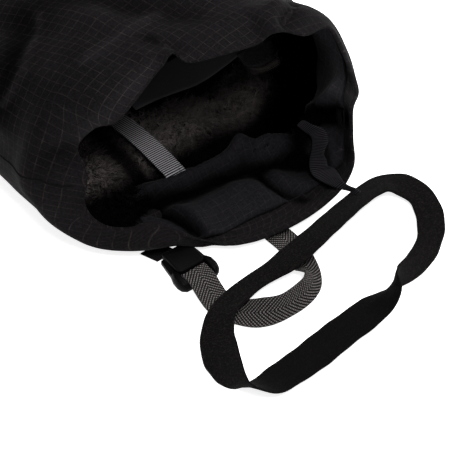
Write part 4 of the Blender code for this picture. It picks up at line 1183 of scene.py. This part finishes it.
# Side seam of the cuff: a dark sewn ridge half sunk into the cloth
shell_tree = BVHTree.FromPolygons([tuple(p) for p in outer.reshape(-1, 3)], [
    tuple(r * outer.shape[1] + i % outer.shape[1] for r, i in quad)
    for quad in grid_faces(len(outer), outer.shape[1])
])
seam_rows = stretched(np.array(SEAM_POINTS) / 1000, [10 * FINE] * (len(SEAM_POINTS) - 1))
seam_at = []
for point in seam_rows:
    seam_at.append(np.array(shell_tree.find_nearest(Vector(point))[0]))
seam_at = np.array(seam_at)
seam_way = unit(np.gradient(seam_at, axis=0))
seam_side = unit(np.cross(seam_way, np.array([0.3, -0.3, 1.0])))
seam_out = np.cross(seam_way, seam_side)
rows = []
for k in range(len(seam_at)):
    thick = 0.00055 * math.sin(math.pi * min(1.0, (k + 1) / 12, (len(seam_at) - k) / 12) / 2)
    rows.append([
        seam_at[k] + (seam_side[k] * math.cos(t) + seam_out[k] * math.sin(t)) * thick
        for t in np.linspace(0.0, 2 * math.pi, 8, endpoint=False)
    ])
rows = np.array(rows)
thread, thread_tree, thread_shader = new_material("sewing_thread", 0.8, 0.0, 0.05)
thread_tone = mixed(thread_tree, mottling(thread_tree, 800.0), linear("#050505"), linear("#0d0c0d"))
thread_tree.links.new(thread_tone, thread_shader.inputs["Base Color"])
side_seam = grid_piece("side_seam", rows, thread, np.linspace(0.0, 0.003, 9), lengths(seam_at))

# Thumb, sewn into the side of the hand
base = np.array([HAND_WIDTH * 0.14, BODY_LENGTH * 0.555, HAND_HEIGHT * 0.44])
tip = base + np.array([0.74, 0.98, -0.06]) / 1.23 * (THUMB_LENGTH + HAND_WIDTH * 0.28)
thumb_line = unit(tip - base)
thumb_side = unit(np.cross(thumb_line, np.array([0.0, 0.0, 1.0])))
thumb_up = np.cross(thumb_side, thumb_line)
thumb_length = float(np.linalg.norm(tip - base))
shares = stretched(np.array(THUMB_ROWS), [4 * FINE] * (len(THUMB_ROWS) - 1))
turns = np.linspace(0.0, 2 * math.pi, 48 * FINE, endpoint=False)
rows = []
for share, wide in shares:
    centre = base + thumb_line * thumb_length * share
    half_w = wide * THUMB_WIDTH / 2
    half_h = wide * THUMB_WIDTH * 0.46
    rows.append([centre + thumb_side * half_w * math.cos(t) + thumb_up * half_h * math.sin(t) for t in turns])
thumb_grid = np.array(rows)
ripple = wandering(thumb_grid, 0.019, 4) * 0.0012
thumb_grid = thumb_grid + grid_normals(thumb_grid) * ripple[:, :, None]
thumb_grid[:, :, 2] = np.maximum(thumb_grid[:, :, 2], 0.0004)
thumb_u = lengths(thumb_grid[len(thumb_grid) // 2], True)
thumb_v = np.array(lengths(thumb_grid.mean(axis=1)))
thumb = grid_piece("thumb_cloth", thumb_grid, ripstop, thumb_u, thumb_v)

# Facing: the hem cloth turned in, its edge lapping over the lining
face_depth = WALL + GAP
facing_rings = slice(3 * ring_at, FACE_RING * ring_at + 1)
facing_in = under(face_depth + FACING_WALL)[facing_rings]
facing_out = under(face_depth)[facing_rings]
# Painted shade in the facing's folds, and painted light (below 0) on the cuff's right wall, kept for its
# colour
facing_painted_light_and_shade = np.clip(creases(facing_in, FACING_PAINTED_LIGHT_AND_SHADE) * 1000, -2.0, 1.0)
facing_in, _ = creased(facing_in, FACING_CREASES, -1.0)
ripple = wandering(facing_in, 0.015, 5) * 0.0009 + wandering(facing_in, 0.006, 6) * 0.0003
facing_in = facing_in - eased(grid_normals(facing_in), 1) * ripple[:, :, None]
edge_v = woven_v[facing_rings]


def edge_roll(one, two, outward):
    """Rounded edge between two rings, bulging the given way."""
    middle = (one + two) / 2
    half = (one - two) / 2
    size = np.linalg.norm(half, axis=1, keepdims=True)
    bends = [math.pi * k / 4 for k in (1, 2, 3)]
    return [middle + half * math.cos(t) + outward * size * math.sin(t) for t in bends]


start_way = unit(facing_in[0] - facing_in[2])
end_way = unit(facing_in[-1] - facing_in[-3])
start = edge_roll(facing_out[0], facing_in[0], start_way)
end = edge_roll(facing_in[-1], facing_out[-1], end_way)
sheet = np.concatenate([facing_out[:1], np.array(start), facing_in, np.array(end), facing_out[-1:]])
edge_u = woven_u[facing_rings]
sheet_u = np.concatenate([np.repeat(edge_u[:1], 4, axis=0), edge_u, np.repeat(edge_u[-1:], 4, axis=0)])
sheet_v = np.concatenate([
    np.repeat(edge_v[:1], 4, axis=0) - 0.001, edge_v, np.repeat(edge_v[-1:], 4, axis=0) + 0.001,
])
facing_cloth = ripstop_nylon("ripstop_nylon_facing", "#171619", "#3a3537", "#121113", 0.7)
facing = grid_piece("facing_cloth", sheet, facing_cloth, sheet_u, -sheet_v, False, (False, False), True)
painted_fold_shade(facing, np.concatenate([np.zeros((4, facing_in.shape[1])), facing_painted_light_and_shade]))

# Lining: knitted ground, lumpy where the pile clumps, with tufts stood on it
lining_rings = slice(FACE_RING * ring_at - ring_at // 2, last)
deep = under(face_depth + PILE * 0.55)
shallow = under(face_depth + FACING_WALL + 0.0005)
edge_rows = np.array(PILE_EDGE)
edge_ring = np.interp(np.arange(deep.shape[1]) / COLUMNS, edge_rows[:, 0], edge_rows[:, 1]) * ring_at
rows = []
count = last - int(5.2 * ring_at)
for k in range(count):
    at = edge_ring + (last - 1 - edge_ring) * (k / (count - 1)) ** 1.15
    below = np.minimum(at.astype(int), last - 2)
    part_way = (at - below)[:, None]
    pick = np.arange(deep.shape[1])
    down = deep[below, pick] * (1 - part_way) + deep[below + 1, pick] * part_way
    rise = shallow[below, pick] * (1 - part_way) + shallow[below + 1, pick] * part_way
    share = np.clip((at - edge_ring) / (1.2 * ring_at), 0.0, 1.0)[:, None]
    rows.append(rise + (down - rise) * np.sqrt(share))
pile_bed = np.array(rows)
bed_u, bed_v = cloth_uv(pile_bed)
pile_bed, _ = creased(pile_bed, LINING_CREASES, -1.0)
lumps = wandering(pile_bed, 0.013, 7) * 0.0013 + wandering(pile_bed, 0.005, 8) * 0.0007
bed_normals = eased(grid_normals(pile_bed), 2)
pile_bed = pile_bed - bed_normals * lumps[:, :, None]
# The lining's ground and pile carry painted shade in the cuff's hollows
ground = pile_ground("knitted_pile_ground", "#1d1a1a", "#0d0c0c", True)
lining = grid_piece("lining_ground", pile_bed, ground, bed_u, bed_v, False, (False, True), True)

EYE_WAY = unit(np.array([
    math.sin(math.radians(CAMERA_TURN)) * math.cos(math.radians(CAMERA_RISE)),
    -math.cos(math.radians(CAMERA_TURN)) * math.cos(math.radians(CAMERA_RISE)),
    math.sin(math.radians(CAMERA_RISE)),
]))


def dressed_bed(piece, grid, mask, nap_way, rough):
    """Adds cover and nap values to the points of a lining surface for its tufts."""
    normals = -eased(grid_normals(grid), 2).reshape(-1, 3)
    flat = grid.reshape(-1, 3)
    swirl = np.array([
        [noise.noise(Vector(p / 0.017 + k * 31.0)) for k in range(3)] for p in flat
    ])
    nap = unit(normals * 0.55 + np.asarray(nap_way) * 0.9 + swirl * rough)
    cover = mask(flat, normals)
    mesh = piece.data
    layer = mesh.attributes.new("nap", "FLOAT_VECTOR", "POINT")
    values = np.zeros((len(mesh.vertices), 3))
    values[:len(nap)] = nap
    layer.data.foreach_set("vector", values.ravel())
    layer = mesh.attributes.new("cover", "FLOAT", "POINT")
    layer.data.foreach_set("value", np.pad(cover, (0, len(mesh.vertices) - len(cover))))


def seen_mask(flat, normals):
    """More tufts where the mouth shows the lining, few farther in, none in the hand."""
    depth = np.clip((0.175 - flat[:, 1]) / 0.05, 0.0, 1.0)
    facing_eye = np.clip((normals @ EYE_WAY) * 2.0 + 0.75, 0.12, 1.0)
    label = (flat[:, 0] > 0.003) & (flat[:, 0] < 0.083) & (flat[:, 2] < 0.03)
    label &= abs(flat[:, 1] - (0.1130 - 0.0700 * flat[:, 0])) < 0.0135
    label |= (flat[:, 2] > 0.045) & (flat[:, 0] < -0.02) & (flat[:, 1] < 0.14)
    wall = np.clip((0.086 - flat[:, 0]) / 0.012, 0.12, 1.0)
    return depth * facing_eye * wall * np.where(label, 0.0, 1.0)


TUFTS = 16000
dressed_bed(lining, pile_bed, seen_mask, (-0.30, -0.85, -0.10), 0.50)
pile_tree = scatter_tree()
# The dark root colour is painted shade deep in the pile
yarn = pile_yarn("pile_yarn", "#131111", "#655e5c", "#706866", True)
bed_area = 0.045
piles = []
for k in range(3):
    lock = tuft("lock_%d" % k, 6, 0.0082, 0.00021, 11 + k)
    pile = grown("lining_pile_%d" % (k + 1), lining, pile_tree, yarn, Per_Area=TUFTS / 3 / bed_area * 2.0,
                 Size=1.0, Spread=0.14, Seed=21 + k, Item=lock)
    piles.append(pile)
    dropped(lock)


class Bed:
    """Finds the height of the lining under a place, for what lies on it."""

    def __init__(self, grid):
        count = grid.shape[1]
        faces = [tuple(r * count + i % count for r, i in quad) for quad in grid_faces(len(grid), count)]
        self.tree = BVHTree.FromPolygons([tuple(p) for p in grid.reshape(-1, 3)], faces)

    def height(self, x, y):
        hit = self.tree.ray_cast(Vector((x, y, GAUNTLET_HEIGHT * 0.45)), Vector((0.0, 0.0, -1.0)))[0]
        return hit.z if hit else WALL + PILE


bed = Bed(under(face_depth + PILE)[lining_rings])


def tape_edges(points, ways, widths):
    return np.array(points), unit(np.array(ways)), np.array(widths)


# Size label: smooth tape along the lining, nothing printed on it
count = 40 * FINE
points = []
ways = []
widths = []
for i in range(count + 1):
    x = 0.0060 + LABEL_LENGTH * 0.86 * i / count
    y = 0.1000 - 0.0700 * x
    low = np.array([x, y, bed.height(x, y) + LABEL_WALL + 0.0022 + 0.0008 * math.sin(i * 9.0 / count)])
    high = np.array([x, y + LABEL_DEPTH, bed.height(x, y + LABEL_DEPTH) + LABEL_WALL + 0.0024])
    points.append(low)
    ways.append(high - low)
    widths.append(float(np.linalg.norm(high - low)))
# The label tape is black; these mid greys are painted light that makes up for the little light reaching it
# inside the cuff
smooth_tape = satin_tape("satin_label_tape", "#69686c", "#5f5e62")
label = band_piece("label_tape", tape_edges(points, ways, widths), LABEL_WALL * 0.7, smooth_tape, False, 16)

# Inner strap: ribbed tape that spans a hollow of the lining
count = 180 * FINE
points = []
ways = []
widths = []
for i in range(count + 1):
    share = i / count
    y = 0.0425 + STRAP_LENGTH * share
    x = -0.0040 - 0.0050 * share
    rise = 0.0045 * math.sin(math.pi * share) - 0.0030 * max(0.0, 1.0 - share / 0.07)
    low = np.array([x - STRAP_WIDTH / 2, y, bed.height(x - STRAP_WIDTH / 2, y)])
    high = np.array([x + STRAP_WIDTH / 2, y, bed.height(x + STRAP_WIDTH / 2, y)])
    points.append(low + np.array([0.0, 0.0, rise + 0.0012]))
    ways.append(high - low)
    widths.append(STRAP_WIDTH)
ease = np.array(points)
for _ in range(40 * FINE):
    ease[1:-1] = (ease[:-2] + ease[2:] + ease[1:-1] * 2) / 4
slant = unit(np.array(ways))
for _ in range(40 * FINE):
    slant[1:-1] = (slant[:-2] + slant[2:] + slant[1:-1] * 2) / 4
tape = ribbed_webbing("ribbed_strap_tape", "#8f8e92", "#070707", 0.0013)


def cross_ribs(pitch, high):
    return lambda run, place, width, side: high * math.cos(2 * math.pi * run / pitch)


strap = band_piece("inner_strap_tape", tape_edges(ease, slant, widths), STRAP_WALL * 0.8, tape, False, 10,
                   cross_ribs(0.0013, 0.00016))

# Wrist leash
brushed = brushed_elastic("brushed_elastic_leash", "#0b0a0a", "#242120", 0.5)


def leash_wave(run):
    """How far the leash's edges stray along it."""
    return 0.00022 * math.sin(run / 0.0061) + 0.00014 * math.sin(run / 0.0023)


leash = band_piece("leash_band", leash_band(10 * FINE), LEASH_WALL * 0.9, brushed, True, 14,
                   lambda run, place, width, side: 0.00007 * math.cos(2 * math.pi * place / 0.0012),
                   leash_wave)

# Pull loop: herringbone webbing
pull_cloth = herringbone_webbing("herringbone_webbing", "#706b6a", "#020202")


def twill(run, place, width, side):
    """Raised slanting floats of the webbing's herringbone."""
    folded = 0.00375 - abs(place - width / 2) % 0.00375
    return 0.00010 * math.sin(2 * math.pi * (run + 1.15 * folded) / 0.00125)


pull = band_piece("pull_webbing", pull_band(30 * FINE), PULL_WALL * 0.85, pull_cloth, False, 20, twill)

# Leash tether
tether_cloth = ribbed_webbing("ribbed_tether_tape", "#312f33", "#080708", 0.0011)
tether = band_piece("tether_tape", tether_band(22 * FINE), TETHER_WALL * 0.8, tether_cloth, False, 10,
                    cross_ribs(0.0011, 0.00010))

# Buckle: two wings beside a sunken middle, with a bar that the webbing wraps
acetal = moulded_acetal("moulded_acetal", "#030303")


def rounded_loft(name, rings, material, bevel):
    """Solid through rings with softly bevelled edges."""
    count = len(rings[0])
    work = bmesh.new()
    verts = [[work.verts.new(tuple(np.asarray(p) + ORIGIN)) for p in ring] for ring in rings]
    for r in range(len(rings) - 1):
        for i in range(count):
            j = (i + 1) % count
            work.faces.new((verts[r][i], verts[r][j], verts[r + 1][j], verts[r + 1][i]))
    work.faces.new(verts[0][::-1])
    work.faces.new(verts[-1])
    bmesh.ops.recalc_face_normals(work, faces=work.faces)
    sharp = [e for e in work.edges if len(e.link_faces) == 2 and e.calc_face_angle(0.0) > 0.5]
    bmesh.ops.bevel(work, geom=sharp, offset=bevel, segments=3, profile=0.6, affect="EDGES")
    mesh = bpy.data.meshes.new(name)
    work.to_mesh(mesh)
    work.free()
    mesh.polygons.foreach_set("use_smooth", [True] * len(mesh.polygons))
    mesh.materials.append(material)
    piece = bpy.data.objects.new(name, mesh)
    bpy.context.scene.collection.objects.link(piece)
    return piece


def slab(points, low, high):
    """Rings of an upright slab with the given outline."""
    return [np.array([(x, y, low) for x, y in points]), np.array([(x, y, high) for x, y in points])]


BUCKLE_X = -0.0340
BUCKLE_Y = 0.0060
outline = []
for along, side in BUCKLE_SIDES:
    outline.append((BUCKLE_X + PULL_WIDTH / 2 + side * BUCKLE_SIDE, BUCKLE_Y - along * BUCKLE_LENGTH))
for along, side in BUCKLE_SIDES[::-1]:
    outline.append((BUCKLE_X - PULL_WIDTH / 2 - side * BUCKLE_SIDE, BUCKLE_Y - along * BUCKLE_LENGTH))
frame_plate = rounded_loft("buckle_frame", slab(outline, 0.0006, 0.0036), acetal, 0.0007)
wings = []
for way in (-1.0, 1.0):
    rows = []
    for along, side, top in BUCKLE_WINGS:
        y = BUCKLE_Y - along * BUCKLE_LENGTH
        near = PULL_WIDTH / 2 + 0.0002
        far = PULL_WIDTH / 2 + side * BUCKLE_SIDE
        z = 0.0006 + top * BUCKLE_WALL
        ring = [
            (near, 0.0016), (far - 0.0006, 0.0010), (far, 0.0020), (far, z * 0.62),
    (far - 0.0010, z * 0.92),
            ((near + far) / 2, z), (near + 0.0006, z * 0.95), (near, z * 0.75),
        ]
        rows.append(np.array([(BUCKLE_X + way * x, y, h) for x, h in ring]))
    wings.append(rounded_loft("buckle_wing_%s" % ("left" if way < 0 else "right"), rows, acetal, 0.0004))
cover = [(BUCKLE_X + x, y) for x, y in (
    (-0.0084, BUCKLE_Y + 0.001), (-0.0080, BUCKLE_Y - 0.0140), (-0.0060, BUCKLE_Y - 0.0152),
    (0.0060, BUCKLE_Y - 0.0152), (0.0080, BUCKLE_Y - 0.0140), (0.0084, BUCKLE_Y + 0.001),
)]
plate = rounded_loft("buckle_plate", slab(cover, 0.0030, 0.0070), acetal, 0.0008)

# Webbing tab beside the buckle
points = []
ways = []
for i in range(16 * FINE + 1):
    share = i / (16 * FINE)
    points.append((-0.0485 + 0.0040 * share, 0.0180 - 0.0095 * share, 0.0011))
    ways.append((0.0130, 0.0, 0.0))
tab_cloth = ribbed_webbing("plain_webbing_tab", "#1a191b", "#070607", 0.0011)
tab_line = tape_edges(points, ways, [0.0130] * len(points))
tab = band_piece("buckle_tab_webbing", tab_line, PULL_WALL * 0.85, tab_cloth, False, 14,
                 cross_ribs(0.0011, 0.0001))

# Fleece tab with an overlocked edge
count = 32 * FINE
points = []
ways = []
widths = []
for i in range(count + 1):
    turn = math.pi * i / count
    x = 0.0840 - 0.5 * TAB_WIDTH * math.cos(turn)
    low_y = 0.0850 - 0.5 * TAB_DEPTH * math.sin(turn)
    high_y = 0.0850 + 0.5 * TAB_DEPTH
    low = np.array([x, low_y, bed.height(0.0740, 0.0850) + 0.0050 + 0.15 * (x - 0.0700)])
    high = np.array([x, high_y, bed.height(0.0740, 0.0850) + 0.0090 + 0.15 * (x - 0.0700)])
    points.append(low)
    ways.append(high - low)
    widths.append(float(np.linalg.norm(high - low)))
tab_edges = tape_edges(points, ways, widths)
fleece = pile_ground("fleece_tab_cloth", "#474448", "#302e31", False)
fleece_tab = band_piece("fleece_tab_cloth", tab_edges, PILE * 0.35, fleece, False, 14)
low, way, _ = tab_edges
stitch_item = stitch("overlock_stitch", 0.0030, 0.00035)
sewn_at = slice(2, -2, 2 * FINE)
sewn = guide_points("overlock_guide", low[sewn_at] + way[sewn_at] * 0.0018 + np.array([0.0, 0.0, 0.0014]),
                    way[sewn_at], np.tile([0.0, 0.0, 1.0], (len(low[sewn_at]), 1)))
sew_tree = placed_tree()
pale_thread, pale_tree, pale_shader = new_material("pale_overlock_thread", 0.7, 0.02, 0.1)
pale_tone = mixed(pale_tree, mottling(pale_tree, 900.0), linear("#3c3a3b"), linear("#5a5657"))
pale_tree.links.new(pale_tone, pale_shader.inputs["Base Color"])
stitches = grown("fleece_tab_stitches", sewn, sew_tree, pale_thread, Size=1.0, Item=stitch_item)
fringe_yarn = pile_yarn("fringe_yarn", "#2b2726", "#6e6664", "#7a7270", False)
fringe_lock = tuft("fringe_lock", 7, 0.0060, 0.0003, 31)
hung_at = slice(1, -1, FINE)
fringe_at = guide_points("fringe_guide", low[hung_at] + way[hung_at] * 0.0006 - np.array([0.0, 0.0, 0.0006]),
                         np.tile([1.0, 0.0, 0.0], (len(low[hung_at]), 1)),
                         unit(-way[hung_at] + np.array([0.0, 0.0, 0.25])))
fringe = grown("fleece_tab_fringe", fringe_at, sew_tree, fringe_yarn, Size=1.0, Item=fringe_lock)
dropped(stitch_item, sewn, fringe_lock, fringe_at)

# Places on the part
settled(shell, "shell", "shell")
settled(thumb, "shell")
settled(side_seam, "shell")
settled(facing, "facing", "facing")
settled(lining, "lining", "lining")
for pile in piles:
    settled(pile, "lining")
settled(label, "label_band", "label_band")
settled(strap, "inner_strap", "inner_strap")
settled(leash, "leash_loop", "leash_loop")
settled(pull, "pull_loop", "pull_loop")
settled(tether, "leash_tether", "leash_tether")
settled(frame_plate, "buckle", "buckle")
settled(plate, "buckle")
for wing in wings:
    settled(wing, "buckle")
settled(tab, "buckle_tab", "buckle_tab")
settled(fleece_tab, "fleece_tab", "fleece_tab")
settled(stitches, "fleece_tab")
settled(fringe, "fleece_tab")

# Camera, floor and light
around = math.radians(CAMERA_TURN)
above = math.radians(CAMERA_RISE)
back = Vector((math.sin(around) * math.cos(above), -math.cos(around) * math.cos(above), math.sin(above)))
right = Vector((math.cos(around), math.sin(around), 0.0))
up = back.cross(right)
eye = Vector((ORIGIN[0], ORIGIN[1] + 0.004, 0.0)) + back * CAMERA_DISTANCE
lens = bpy.data.cameras.new("camera")
lens.sensor_width = SENSOR_WIDTH
lens.lens = SENSOR_WIDTH * FOCAL_PIXELS / PHOTO_PIXELS
camera = bpy.data.objects.new("camera", lens)
camera.matrix_world = Matrix((
    (right.x, up.x, back.x, eye.x), (right.y, up.y, back.y, eye.y), (right.z, up.z, back.z, eye.z),
    (0, 0, 0, 1),
))
bpy.context.scene.collection.objects.link(camera)
bpy.context.scene.camera = camera

floor_mesh = bpy.data.meshes.new("floor")
FLOOR_HALF = 6.0
corners = [(x * FLOOR_HALF, y * FLOOR_HALF, 0.0) for x, y in ((-1, -1), (1, -1), (1, 1), (-1, 1))]
floor_mesh.from_pydata(corners, [], [(0, 1, 2, 3)])
floor_mesh.materials.append(plain_floor())
floor = bpy.data.objects.new("floor", floor_mesh)
bpy.context.scene.collection.objects.link(floor)

world = bpy.data.worlds.new("studio")
world.use_nodes = True
world.node_tree.nodes["Background"].inputs[0].default_value = (1.0, 1.0, 1.0, 1.0)
world.node_tree.nodes["Background"].inputs[1].default_value = 0.28
bpy.context.scene.world = world


def soft_light(name, place, aim, size, power_watts):
    lamp = bpy.data.lights.new(name, "AREA")
    lamp.shape = "RECTANGLE"
    lamp.size = size[0]
    lamp.size_y = size[1]
    lamp.energy = power_watts
    thing = bpy.data.objects.new(name, lamp)
    thing.location = Vector(place)
    thing.rotation_euler = (Vector(aim) - Vector(place)).to_track_quat("-Z", "Y").to_euler()
    bpy.context.scene.collection.objects.link(thing)


soft_light("key_light", (-0.25, -0.75, 1.45), (0.0, -0.1, 0.0), (0.45, 0.45), 19.0)
soft_light("side_light", (1.15, -0.15, 1.05), (0.0, -0.1, 0.0), (0.5, 0.5), 12.0)
soft_light("top_light", (0.2, 0.6, 1.5), (0.0, -0.05, 0.0), (0.6, 0.5), 6.0)

view = bpy.context.scene.view_settings
view.view_transform = "Standard"
view.look = "None"
view.exposure = 0.0
